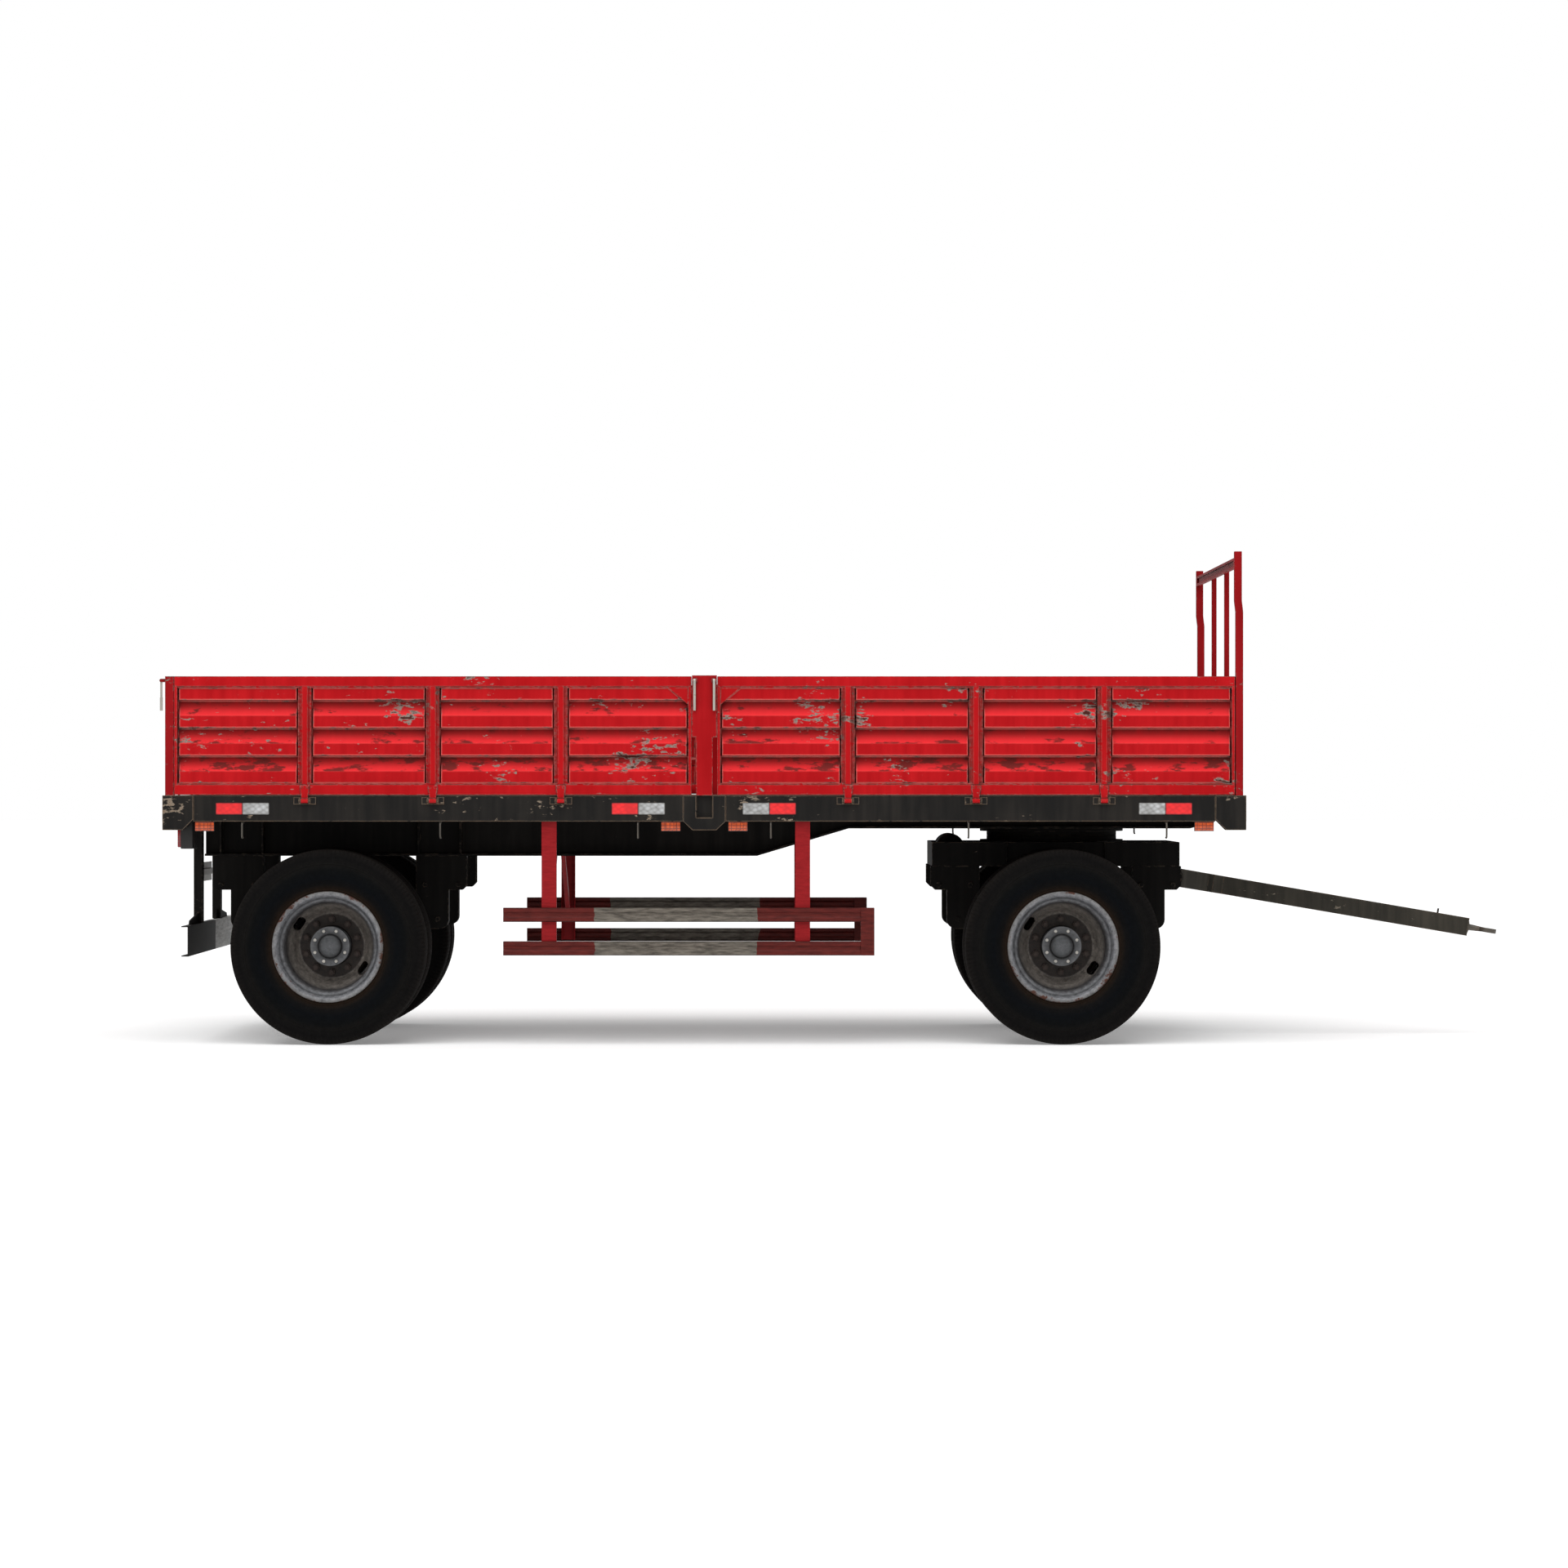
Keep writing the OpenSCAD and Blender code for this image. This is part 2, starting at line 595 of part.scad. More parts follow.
// the pack's top is curved, so the plate over it bears on its ends
u_lift = leaf_r - sqrt(pow(leaf_r, 2) - pow(u_plate / 2, 2)) + 0.2;
seat_w = 2 * (u_y - u_r - 1);   // the spring seat lies between the U-bolts
module u_bolt_set(x) {
    sides() translate([x, spring_y, 0]) {
        translate([-100, -u_y - 14, axle_z - axle_beam / 2 - 20]) cube([200, 2 * u_y + 28, 20]);
        translate([-u_plate / 2, -leaf_w / 2, spring_top + u_lift]) cube([u_plate, leaf_w, 16]);
        for (sx = [-1, 1]) translate([sx * u_x, 0, 0]) {
            for (sy = [-1, 1]) translate([0, sy * u_y, 0]) {
                translate([0, 0, axle_z - axle_beam / 2 - 55])
                    cylinder(r = u_r, h = spring_top + 16 - axle_z + axle_beam / 2 + 55 + 9);
                translate([0, 0, axle_z - axle_beam / 2 - 36]) cylinder(r = 16, h = 17, $fn = 6);
            }
            translate([0, -u_y, spring_top + 25]) rotate([-90, 0, 0]) cylinder(r = u_r, h = 2 * u_y);
        }
    }
}

spindle_y0 = inner_y - 175;
module axle(x) {
    translate([x, 0, axle_z]) {
        difference() {
            translate([-axle_beam / 2, -spindle_y0, -axle_beam / 2]) cube([axle_beam, 2 * spindle_y0, axle_beam]);
            translate([-axle_beam / 2 + 12, -spindle_y0 + 20, -axle_beam / 2 + 12])
                cube([axle_beam - 24, 2 * spindle_y0 - 40, axle_beam - 24]);
        }
        sides() {
            translate([0, spindle_y0 - 1, 0]) rotate([-90, 0, 0]) cylinder(r = 70, h = 56);
            translate([0, spindle_y0, 0]) rotate([-90, 0, 0]) cylinder(r = spindle_r, h = mount_y + 75 - spindle_y0);
            translate([0, spindle_y0 + 34, 0]) rotate([-90, 0, 0]) cylinder(r = 204, h = 8);
            translate([-100, spring_y - seat_w / 2, axle_beam / 2 - eps]) cube([200, seat_w, seat_h + eps]);
            // brake chamber on its bracket
            translate([-axle_beam / 2 - 46, 270, -20]) cube([47, 60, 60]);
            translate([-axle_beam / 2 - 150, 300, 10]) rotate([0, 90, 0]) cylinder(r = 74, h = 105);
            translate([-axle_beam / 2 - 106, 300, 10]) rotate([0, 90, 0]) cylinder(r = 80, h = 14);
        }
    }
}

rear_wide = 700;
front_wide = 690;
module rear_hangers() { color("#1d1c1a") hanger_set(rear_x, beam_low, rear_wide); }
module rear_springs() { color("#2a2825") leaf_pack(rear_x); }
module rear_u_bolts() { color("#2f2d2a") u_bolt_set(rear_x); }
module rear_axle() { color("#22201e") axle(rear_x); }
module bogie_hangers() { color("#1d1c1a") hanger_set(front_x, bogie_low, front_wide); }
module bogie_springs() { color("#2a2825") leaf_pack(front_x); }
module bogie_u_bolts() { color("#2f2d2a") u_bolt_set(front_x); }
module front_axle() { color("#22201e") axle(front_x); }

// ---- Turntable and front frame ---------------------------------------------------------------
race_in = 330;
race_out = 362.5;
spigot_r = 345;
module turn_ring(r0, r1, z0, z1) {
    translate([front_x, 0, z0]) difference() {
        cylinder(r = r1, h = z1 - z0, $fn = 120);
        translate([0, 0, -1]) cylinder(r = r0, h = z1 - z0 + 2, $fn = 120);
    }
}

race_z = bogie_top + 35;
module turntable_upper() {
    color("#191816") {
        turn_ring(turn_d / 2 - 100, turn_d / 2, neck_z - 17, neck_z);
        turn_ring(spigot_r + 0.3, race_out, race_z + eps, neck_z - 16);
    }
}

module turntable_lower() {
    color("#191816") {
        turn_ring(turn_d / 2 - 100, turn_d / 2, bogie_top, bogie_top + 12);
        turn_ring(race_in, race_out, bogie_top + 11, race_z);
        turn_ring(race_in, spigot_r, race_z - 1, race_z + 15);
    }
}

module bogie_beams() {
    color("#1d1c1a") sides() translate([front_x, spring_y, 0]) {
        translate([-bogie_l / 2, 0, bogie_low + bogie_h / 2]) tube_x(bogie_l, bogie_box, bogie_h, 8);
        for (s = [0, 1], e = [0, 1]) mirror([s, 0, 0]) mirror([0, e, 0])
            translate([268, bogie_box / 2 - eps, bogie_low])
                cube([bogie_l / 2 - 268, hanger_w / 2 - bogie_box / 2 + eps, bogie_h]);
    }
}

lug_y = [285, 362];
lug_t = 13;
lug_r = 40;
boss_r = 50;
bar_pin_r = 15;
module bogie_crossmembers() {
    web = spring_y - hanger_w / 2;
    color("#1d1c1a") {
        translate([front_x + bogie_l / 2 - 82, 0, bogie_low]) channel_y(2 * web, 82, bogie_h, 8);
        for (x = [-240, 180]) translate([front_x + x, 0, bogie_low]) channel_y(2 * (web + 10), 60, bogie_h, 8);
        translate([front_x - 490, 0, bogie_low]) channel_y(2 * web, 60, bogie_h, 8);
        translate([front_x - bogie_l / 2, -web, bogie_low]) cube([20, 2 * web, bogie_h]);
        // lugs and pins that carry the towing bar
        sides() {
            for (y = lug_y) {
                translate([pivot_x - lug_r, y, pivot_z]) cube([lug_r + 18, lug_t, bogie_low - pivot_z + 1]);
                translate([pivot_x, y + lug_t, pivot_z]) rotate([90, 0, 0]) cylinder(r = lug_r, h = lug_t);
            }
            translate([pivot_x, lug_y[1] + lug_t - 1, pivot_z]) rotate([90, 0, 0])
                cylinder(r = bar_pin_r, h = lug_y[1] - lug_y[0] + lug_t + 8);
        }
    }
}

tank_r = 75;
tank_half = 330;
module air_reservoir() {
    color("#1b1a19") translate([front_x - 574, 0, bogie_top - 33]) {
        rotate([90, 0, 0]) rotate_extrude()
            polygon([[0, -tank_half], [30, -tank_half], [58, -tank_half + 14], [tank_r, -tank_half + 40],
                     [tank_r, tank_half - 40], [58, tank_half - 14], [30, tank_half], [0, tank_half]]);
        for (y = [-190, 190]) translate([0, y - 15, 0]) {
            translate([0, 30, 0]) rotate([90, 0, 0]) cylinder(r = tank_r + 3, h = 30);
            translate([tank_r - 2, 0, -60]) cube([11, 30, 90]);
        }
    }
}

// ---- Towing bar ------------------------------------------------------------------------------
module at_bar() { translate([pivot_x, 0, pivot_z]) rotate([0, bar_slope, 0]) children(); }

arm_y = (lug_y[0] + lug_t + lug_y[1]) / 2;
arm_w = 58;
fork_l = 288;
pole_end = bar_l - 116;
module drawbar_pole() {
    ang = atan2(arm_y - 30, fork_l - 10);
    len_arm = sqrt(pow(arm_y - 30, 2) + pow(fork_l - 10, 2));
    color("#33302a") at_bar() difference() {
        union() {
            translate([fork_l - 60, 0, 0]) tube_x(pole_end - fork_l + 60, bar_s, bar_s, 6);
            sides() {
                // the root of each arm is no wider than its boss, so it passes between the lugs
                difference() {
                    translate([0, arm_y, 0]) rotate([0, 0, -ang]) intersection() {
                        tube_x(len_arm, arm_w, bar_s, 8);
                        translate([20, -arm_w, -bar_s]) cube([len_arm, 2 * arm_w, 2 * bar_s]);
                    }
                    for (y = [arm_y - arm_w / 2 - 2 * arm_w, arm_y + arm_w / 2])
                        translate([-arm_w, y, -bar_s]) cube([arm_w + lug_r + 8, 2 * arm_w, 2 * bar_s]);
                }
                translate([0, arm_y + arm_w / 2, 0]) rotate([90, 0, 0]) cylinder(r = boss_r, h = arm_w);
            }
            translate([fork_l - 90, -150, -bar_s / 2]) cube([40, 300, bar_s]);
            // pin for the air hose near the front
            translate([pole_end - 175, 0, bar_s / 2 - 1]) cylinder(r = 5, h = 26);
        }
        translate([0, bed_w / 2, 0]) rotate([90, 0, 0]) cylinder(r = bar_pin_r + run_fit, h = bed_w);
    }
}

eye_t = 25;
module towing_eye() {
    color("#2f2d2a") at_bar() difference() {
        union() {
            translate([bar_l, 0, -eye_t / 2]) cylinder(r = eye_r, h = eye_t, $fn = 96);
            translate([pole_end, 0, 0]) rotate([0, 90, 0])
                cylinder(r1 = 18.5, r2 = 12.5, h = bar_l - pole_end - eye_bore / 2 - 6);
            translate([pole_end, 0, 0]) rotate([0, 90, 0]) cylinder(r = 34, h = 8, $fn = 6);
        }
        translate([bar_l, 0, -eye_t]) cylinder(r = eye_bore / 2, h = 2 * eye_t, $fn = 96);
    }
}

// ---- Wheels ----------------------------------------------------------------------------------
// Everything here is turned about the axle; [radius, outward] points
module turned(x) { translate([x, 0, axle_z]) rotate([-90, 0, 0]) children(); }

function mirrored(pts) = [for (i = [len(pts) - 1:-1:0]) [pts[i][0], -pts[i][1]]];

module tyre_ring(y) {
    r = tyre_d / 2;
    w = tyre_w / 2;
    h = r - bead_r;
    skin = [[bead_r + 0.3, rim_half - 1], [bead_r + 14, rim_half - 1], [bead_r + 0.16 * h, rim_half + 6],
            [bead_r + 0.3 * h, w - 7], [bead_r + 0.45 * h, w - 1], [bead_r + 0.52 * h, w],
            [bead_r + 0.6 * h, w - 1], [bead_r + 0.76 * h, w - 8], [r - 26, w - 15], [r - 9, w - 22], [r - 3, w - 32],
            [r, w - 60]];
    lining = [[r - 24, w - 60], [r - 34, w - 34], [bead_r + 0.55 * h, w - 14], [bead_r + 0.3 * h, w - 22],
              [bead_r + 20, rim_half - 22], [bead_r + 0.3, rim_half - 30]];
    translate([0, 0, y]) for (m = [0]) rotate_extrude($fn = 96)
        polygon(concat(skin, mirrored(skin), [for (i = [len(lining) - 1:-1:0]) [lining[i][0], -lining[i][1]]], lining));
}

// Rim with its disc; the disc stands inboard of the rim's middle
module rim_ring() {
    w = rim_half;
    off = -dual_pitch / 2;
    difference() {
        union() {
            rotate_extrude($fn = 96)
                polygon([[298.5, w], [bead_r, w], [277, w - 34], [252, w - 60], [252, 60 - w], [277, 34 - w], [bead_r, -w],
                         [298.5, -w], [298.5, -w - 8], [290, -w - 13], [277, -w - 8], [268, 34 - w], [240, 62 - w],
                         [240, w - 62], [259, w - 36], [268, w - 30], [275, w + 5], [290, w + 13], [298.5, w + 8]]);
            rotate_extrude($fn = 96)
                polygon([[241, -36], [232, -52], [186, off + disc_t + 4], [178, off + disc_t], [hub_r + 0.4, off + disc_t],
                         [hub_r + 0.4, off + 0.1], [182, off + 0.1], [190, off + 3], [241, -52 - disc_t]]);
        }
        for (i = [0:stud_n - 1]) rotate([0, 0, 90 + i * 360 / stud_n]) translate([stud_pcd / 2, 0, off - 5])
            cylinder(r = stud_r + 2.5, h = disc_t + 10);
        for (a = [0, 180]) rotate([0, 0, 35 + a]) translate([209, 0, off - 10]) {
            for (s = [-1, 1]) translate([0, s * 20, 0]) cylinder(r = 20, h = 130);
            translate([-20, -20, 0]) cube([40, 40, 130]);
        }
    }
}

module rim_pair() {
    translate([0, 0, mount_y + dual_pitch / 2]) rim_ring();
    translate([0, 0, mount_y - dual_pitch / 2]) mirror([0, 0, 1]) rim_ring();
}

module hub_body() {
    f = mount_y - disc_t - 1;   // outer face of the hub's flange
    // the drum tapers in front to stay inside the cone of the inner disc
    rotate_extrude($fn = 96)
        polygon([[spindle_r + run_fit, f - 264], [80, f - 264], [90, f - 214], [90, f - 30], [170, f - 30], [198, f - 92],
                 [198, f - 274], [212, f - 274], [212, f - 76], [184, f - 14], [178, f], [hub_r, f], [hub_r, f + 37], [100, f + 39], [100, f + 138],
                 [107, f + 138], [107, f + 150], [66, f + 150], [62, f + 164], [48, f + 170], [0, f + 170],
                 [0, f + 92], [spindle_r + run_fit, f + 92]]);
    for (i = [0:stud_n - 1]) rotate([0, 0, 90 + i * 360 / stud_n]) translate([stud_pcd / 2, 0, 0]) {
        translate([0, 0, f - 1]) cylinder(r = stud_r, h = 66);
        translate([0, 0, mount_y + disc_t]) cylinder(r = 19, h = 24, $fn = 6);
    }
    for (i = [0:7]) rotate([0, 0, 22.5 + i * 45]) translate([87.5, 0, f + 149]) cylinder(r = 9, h = 9, $fn = 6);
}

module on_left(x) { turned(x) children(); }
module on_right(x) { mirror([0, 1, 0]) turned(x) children(); }

module tyre_pair() { tyre_ring(outer_y); tyre_ring(inner_y); }

module tyres_front_right() { color("#161615") on_right(front_x) tyre_pair(); }
module tyres_front_left() { color("#161615") on_left(front_x) tyre_pair(); }
module tyres_rear_right() { color("#161615") on_right(rear_x) tyre_pair(); }
module tyres_rear_left() { color("#161615") on_left(rear_x) tyre_pair(); }
module rims_front_right() { color("#8c8c8e") on_right(front_x) rim_pair(); }
module rims_front_left() { color("#8c8c8e") on_left(front_x) rim_pair(); }
module rims_rear_right() { color("#8c8c8e") on_right(rear_x) rim_pair(); }
module rims_rear_left() { color("#8c8c8e") on_left(rear_x) rim_pair(); }
module hub_front_right() { color("#3a3733") on_right(front_x) hub_body(); }
module hub_front_left() { color("#3a3733") on_left(front_x) hub_body(); }
module hub_rear_right() { color("#3a3733") on_right(rear_x) hub_body(); }
module hub_rear_left() { color("#3a3733") on_left(rear_x) hub_body(); }

// ---- Latch levers ----------------------------------------------------------------------------
module side_lever(s) { translate([bed_cx + s * latch_x, half_w + latch_out, latch_z]) latch_lever(); }
module lever_front_left() { side_lever(1); }
module lever_front_right() { mirror([0, 1, 0]) side_lever(1); }
module lever_mid_left() { side_lever(-1); }
module lever_mid_right() { mirror([0, 1, 0]) side_lever(-1); }
module lever_tail_left() { translate([tail_pin_x, tail_lever_y, latch_z]) rotate([0, 0, 90]) latch_lever(); }
module lever_tail_right() { mirror([0, 1, 0]) lever_tail_left(); }

main_beams();
cross_members();
side_rails();
end_rails();
deck_floor();
corner_blocks();
post_sockets();
centre_posts();
rear_posts();
rack_uprights();
headboard();
rack_rail();
hinge_brackets();
rope_hooks();
reflector_tapes();
side_markers();
tail_lamps();
number_plate();
underride_bar();
underride_uprights();
guard_rails();
guard_supports();
rear_hangers();
rear_springs();
rear_u_bolts();
rear_axle();
turntable_upper();
turntable_lower();
bogie_beams();
bogie_crossmembers();
bogie_hangers();
bogie_springs();
bogie_u_bolts();
front_axle();
air_reservoir();
drawbar_pole();
towing_eye();
tyres_front_right();
rims_front_right();
hub_front_right();
tyres_front_left();
rims_front_left();
hub_front_left();
tyres_rear_right();
rims_rear_right();
hub_rear_right();
tyres_rear_left();
rims_rear_left();
hub_rear_left();
board_front_right();
board_front_left();
board_rear_right();
board_rear_left();
tailgate();
lever_front_right();
lever_front_left();
lever_mid_right();
lever_mid_left();
lever_tail_right();
lever_tail_left();
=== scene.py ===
import math

import bmesh
import bpy
from mathutils import Matrix, Vector


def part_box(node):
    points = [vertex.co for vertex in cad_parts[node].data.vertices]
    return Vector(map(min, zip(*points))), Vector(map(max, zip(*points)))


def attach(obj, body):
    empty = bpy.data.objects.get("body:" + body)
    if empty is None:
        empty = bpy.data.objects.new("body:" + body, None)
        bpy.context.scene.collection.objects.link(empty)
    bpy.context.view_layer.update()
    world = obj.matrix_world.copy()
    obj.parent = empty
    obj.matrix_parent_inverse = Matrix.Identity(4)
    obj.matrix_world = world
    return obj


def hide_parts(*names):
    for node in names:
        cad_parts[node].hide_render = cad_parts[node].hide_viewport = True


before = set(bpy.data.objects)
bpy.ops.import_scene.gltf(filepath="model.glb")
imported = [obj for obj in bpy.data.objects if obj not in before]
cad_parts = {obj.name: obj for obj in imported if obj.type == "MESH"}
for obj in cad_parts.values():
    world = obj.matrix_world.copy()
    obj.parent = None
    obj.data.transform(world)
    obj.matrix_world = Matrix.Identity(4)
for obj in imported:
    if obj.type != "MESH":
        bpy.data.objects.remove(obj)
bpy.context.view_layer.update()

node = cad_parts
scene = bpy.context.scene

# ---- Camera, floor and light ---------------------------------------------------------------------
# A long lens stands level with the deck and square to the right-hand side. The studio is a white
# floor and wall with an even fill, and one very broad lamp above and behind the camera.
lens_data = bpy.data.cameras.new("side_view")
lens_data.sensor_width, lens_data.lens, lens_data.clip_end = 36, 114.4, 400
camera = bpy.data.objects.new("side_view", lens_data)
view_distance, view_height, view_middle = 27.93, 1.400, -0.322
camera.location = (view_middle, -view_distance, view_height)
camera.rotation_euler = (math.radians(90), 0, 0)
scene.collection.objects.link(camera)
scene.camera = camera
scene.view_settings.view_transform = "Standard"


def linear(colour):
    """An sRGB hex colour as linear red, green, blue and alpha."""
    parts = [int(colour[i:i + 2], 16) / 255 for i in (1, 3, 5)]
    return [c / 12.92 if c <= 0.04045 else ((c + 0.055) / 1.055) ** 2.4 for c in parts] + [1.0]


def add(tree, kind, values=None, feeds=None):
    """Adds one shader node, with its settings and with what is linked into its inputs."""
    made = tree.nodes.new("ShaderNode" + kind)
    for key, value in (values or {}).items():
        if isinstance(key, str) and key not in made.inputs:
            setattr(made, key, value)
        else:
            made.inputs[key].default_value = value
    for key, source in (feeds or {}).items():
        tree.links.new(source, made.inputs[key])
    return made


def new_material(name):
    """An empty material and its node tree."""
    made = bpy.data.materials.new(name)
    made.use_nodes = True
    made.node_tree.nodes.clear()
    return made, made.node_tree


def finished(material, surface):
    """The material, with its surface shader linked to an output node."""
    add(material.node_tree, "OutputMaterial", feeds={"Surface": surface.outputs[0]})
    return material


floor_mesh = bpy.data.meshes.new("studio_floor")
floor_mesh.from_pydata([(-90, -60, 0), (90, -60, 0), (90, 160, 0), (-90, 160, 0)], [], [(0, 1, 2, 3)])
floor = bpy.data.objects.new("studio_floor", floor_mesh)
scene.collection.objects.link(floor)
floor_paint, tree = new_material("studio_white")
grain = add(tree, "TexNoise", {"Scale": 3.0, "Detail": 2.0})
tint = add(tree, "ValToRGB", feeds={"Fac": grain.outputs["Fac"]})
tint.color_ramp.elements[0].color = linear("#f6f6f6")
tint.color_ramp.elements[1].color = linear("#f9f9f9")
surface = add(tree, "BsdfPrincipled", {"Roughness": 0.9, "Specular IOR Level": 0.1,
                                       "Emission Color": (1, 1, 1, 1), "Emission Strength": 0.22},
              {"Base Color": tint.outputs["Color"]})
floor_mesh.materials.append(finished(floor_paint, surface))

sky = bpy.data.worlds.new("studio_sky")
sky.use_nodes = True
backdrop = sky.node_tree.nodes["Background"]
backdrop.inputs["Color"].default_value = (1, 1, 1, 1)
# the studio wall is pure white to look at, and gives the trailer a softer fill than that
looked_at = add(sky.node_tree, "LightPath").outputs["Is Camera Ray"]
fill = add(sky.node_tree, "MapRange", {"To Min": 0.42, "To Max": 1.0}, {"Value": looked_at})
sky.node_tree.links.new(fill.outputs[0], backdrop.inputs["Strength"])
scene.world = sky

lamp_data = bpy.data.lights.new("overhead_softbox", "SUN")
lamp_data.energy = 2.2
lamp_data.angle = math.radians(60)
lamp = bpy.data.objects.new("overhead_softbox", lamp_data)
lamp.rotation_euler = (math.radians(32), math.radians(-9), 0)
scene.collection.objects.link(lamp)

# ---- Worn paint ----------------------------------------------------------------------------------
# Every painted part is sprayed steel that has worked for years: the colour is gone along the edges,
# chips show grey primer with brown rust in the middle, and the corners are darkened, partly by dirt and partly by
# painted shade.


def worn_paint(name, coat, faded, primer, rust, rough=0.42, edge=0.5, chips=0.5, dirt_and_shade=0.5, grime_and_shade="#1a1512",
               rows=None, crease=(0.99, 0.86), gloss=0.12):
    """Old sprayed paint on steel. It gives a soft gloss that breaks up into dull chips along the edges."""
    made, tree = new_material(name)
    where = add(tree, "TexCoord").outputs["Object"]
    # broad fading, about 400 mm across, and rain streaks about 30 mm wide that run down
    broad = add(tree, "TexNoise", {"Scale": 2.4, "Detail": 6.0, "Roughness": 0.6}, {"Vector": where})
    long = add(tree, "Mapping", {"Scale": (26.0, 26.0, 2.2)}, {"Vector": where})
    streak = add(tree, "TexNoise", {"Scale": 1.0, "Detail": 4.0}, {"Vector": long.outputs[0]})
    both = add(tree, "Math", {"operation": "MULTIPLY"}, {0: broad.outputs["Fac"], 1: streak.outputs["Fac"]})
    fade = add(tree, "MapRange", {"From Min": 0.16, "From Max": 0.40}, {"Value": both.outputs[0]})
    paint = add(tree, "Mix", {"data_type": "RGBA", 6: linear(coat), 7: linear(faded)}, {0: fade.outputs[0]})
    # distance from an edge, read from how far a 9 mm rounding would tilt the surface
    rounded = add(tree, "Bevel", {"samples": 3, "Radius": 0.009})
    true_normal = add(tree, "NewGeometry").outputs["Normal"]
    tilt = add(tree, "VectorMath", {"operation": "DOT_PRODUCT"}, {0: rounded.outputs[0], 1: true_normal})
    near_edge = add(tree, "MapRange", {"From Min": crease[0], "From Max": crease[1]},
                    {"Value": tilt.outputs["Value"]})
    # chips about 15 mm across that gather in patches about 300 mm across
    flat = add(tree, "Mapping", {"Scale": (0.55, 0.8, 1.3)}, {"Vector": where})
    small = add(tree, "TexNoise", {"Scale": 34.0, "Detail": 9.0, "Roughness": 0.68}, {"Vector": flat.outputs[0]})
    patch = add(tree, "TexNoise", {"Scale": 3.7, "Detail": 5.0, "Roughness": 0.6}, {"Vector": flat.outputs[0]})
    gather = add(tree, "MapRange", {"From Min": 0.50, "From Max": 0.74, "To Max": 0.26 * chips},
                 {"Value": patch.outputs["Fac"]})
    worn_edge = add(tree, "Math", {"operation": "MULTIPLY_ADD", 1: 0.42 * edge},
                    {0: near_edge.outputs[0], 2: gather.outputs[0]})
    level = add(tree, "Math", {"operation": "ADD"}, {0: small.outputs["Fac"], 1: worn_edge.outputs[0]})
    bare = add(tree, "MapRange", {"From Min": 0.70, "From Max": 0.725}, {"Value": level.outputs[0]})
    deep = add(tree, "MapRange", {"From Min": 0.755, "From Max": 0.80}, {"Value": level.outputs[0]})
    under = add(tree, "Mix", {"data_type": "RGBA", 6: linear(primer), 7: linear(rust)}, {0: deep.outputs[0]})
    if rows:
        # rows of troughs, given as the foot, pitch and height of the lowest, with the colour of a painted highlight
        # and the colour used both for painted shade and for brown stains
        foot, pitch, tall, painted_light_colour, shade_and_stain_colour = rows
        height = add(tree, "SeparateXYZ", feeds={0: where}).outputs[2]
        row = add(tree, "Math", {"operation": "MULTIPLY_ADD", 1: 1 / pitch, 2: -foot / pitch}, {0: height})
        rise = add(tree, "Math", {"operation": "FRACT"}, {0: row.outputs[0]})
        in_row = add(tree, "Math", {"operation": "LESS_THAN", 1: tall / pitch}, {0: rise.outputs[0]})
        # painted light and shade: the lower half of a trough, whose slope faces up, is painted bright as if lit from
        # above, and painted shade darkens the upper part under the step at its top, broken into streaks
        low = add(tree, "MapRange", {"From Min": 0.62 * tall / pitch, "From Max": 0.0, "To Max": 0.85},
                  {"Value": rise.outputs[0]})
        painted_light_mask = add(tree, "Math", {"operation": "MULTIPLY"}, {0: low.outputs[0], 1: in_row.outputs[0]})
        paint = add(tree, "Mix", {"data_type": "RGBA", 7: linear(painted_light_colour)},
                    {0: painted_light_mask.outputs[0], 6: paint.outputs[2]})
        high = add(tree, "MapRange", {"From Min": 0.30 * tall / pitch, "From Max": tall / pitch,
                                      "To Max": 0.85}, {"Value": rise.outputs[0]})
        shade_streaks = add(tree, "MapRange", {"From Min": 0.30, "From Max": 0.55, "To Min": 0.35},
                   {"Value": streak.outputs["Fac"]})
        shade = add(tree, "Math", {"operation": "MULTIPLY"}, {0: high.outputs[0], 1: in_row.outputs[0]})
        shade = add(tree, "Math", {"operation": "MULTIPLY"}, {0: shade.outputs[0], 1: shade_streaks.outputs[0]})
        paint = add(tree, "Mix", {"data_type": "RGBA", 7: linear(shade_and_stain_colour)},
                    {0: shade.outputs[0], 6: paint.outputs[2]})
        # brown blotches about 60 mm long, most of them in the lowest trough
        wide = add(tree, "Mapping", {"Scale": (7.0, 7.0, 22.0)}, {"Vector": where})
        cloud = add(tree, "TexNoise", {"Scale": 1.0, "Detail": 8.0, "Roughness": 0.66}, {"Vector": wide.outputs[0]})
        lowest = add(tree, "MapRange", {"From Min": 1.0, "From Max": 1.2, "To Min": 0.115, "To Max": 0.02},
                     {"Value": row.outputs[0]})
        amount = add(tree, "Math", {"operation": "ADD"}, {0: cloud.outputs["Fac"], 1: lowest.outputs[0]})
        blotch = add(tree, "MapRange", {"From Min": 0.62, "From Max": 0.68, "To Max": 0.85},
                     {"Value": amount.outputs[0]})
        blotch = add(tree, "Math", {"operation": "MULTIPLY"}, {0: blotch.outputs[0], 1: in_row.outputs[0]})
        paint = add(tree, "Mix", {"data_type": "RGBA", 7: linear(shade_and_stain_colour)},
                    {0: blotch.outputs[0], 6: paint.outputs[2]})
        # every crease of the pressing is rubbed to a pale line
        line = add(tree, "Math", {"operation": "MULTIPLY", 1: 0.75}, {0: near_edge.outputs[0]})
        paint = add(tree, "Mix", {"data_type": "RGBA", 7: linear("#f08078")},
                    {0: line.outputs[0], 6: paint.outputs[2]})
    chipped = add(tree, "Mix", {"data_type": "RGBA"},
                  {0: bare.outputs[0], 6: paint.outputs[2], 7: under.outputs[2]})
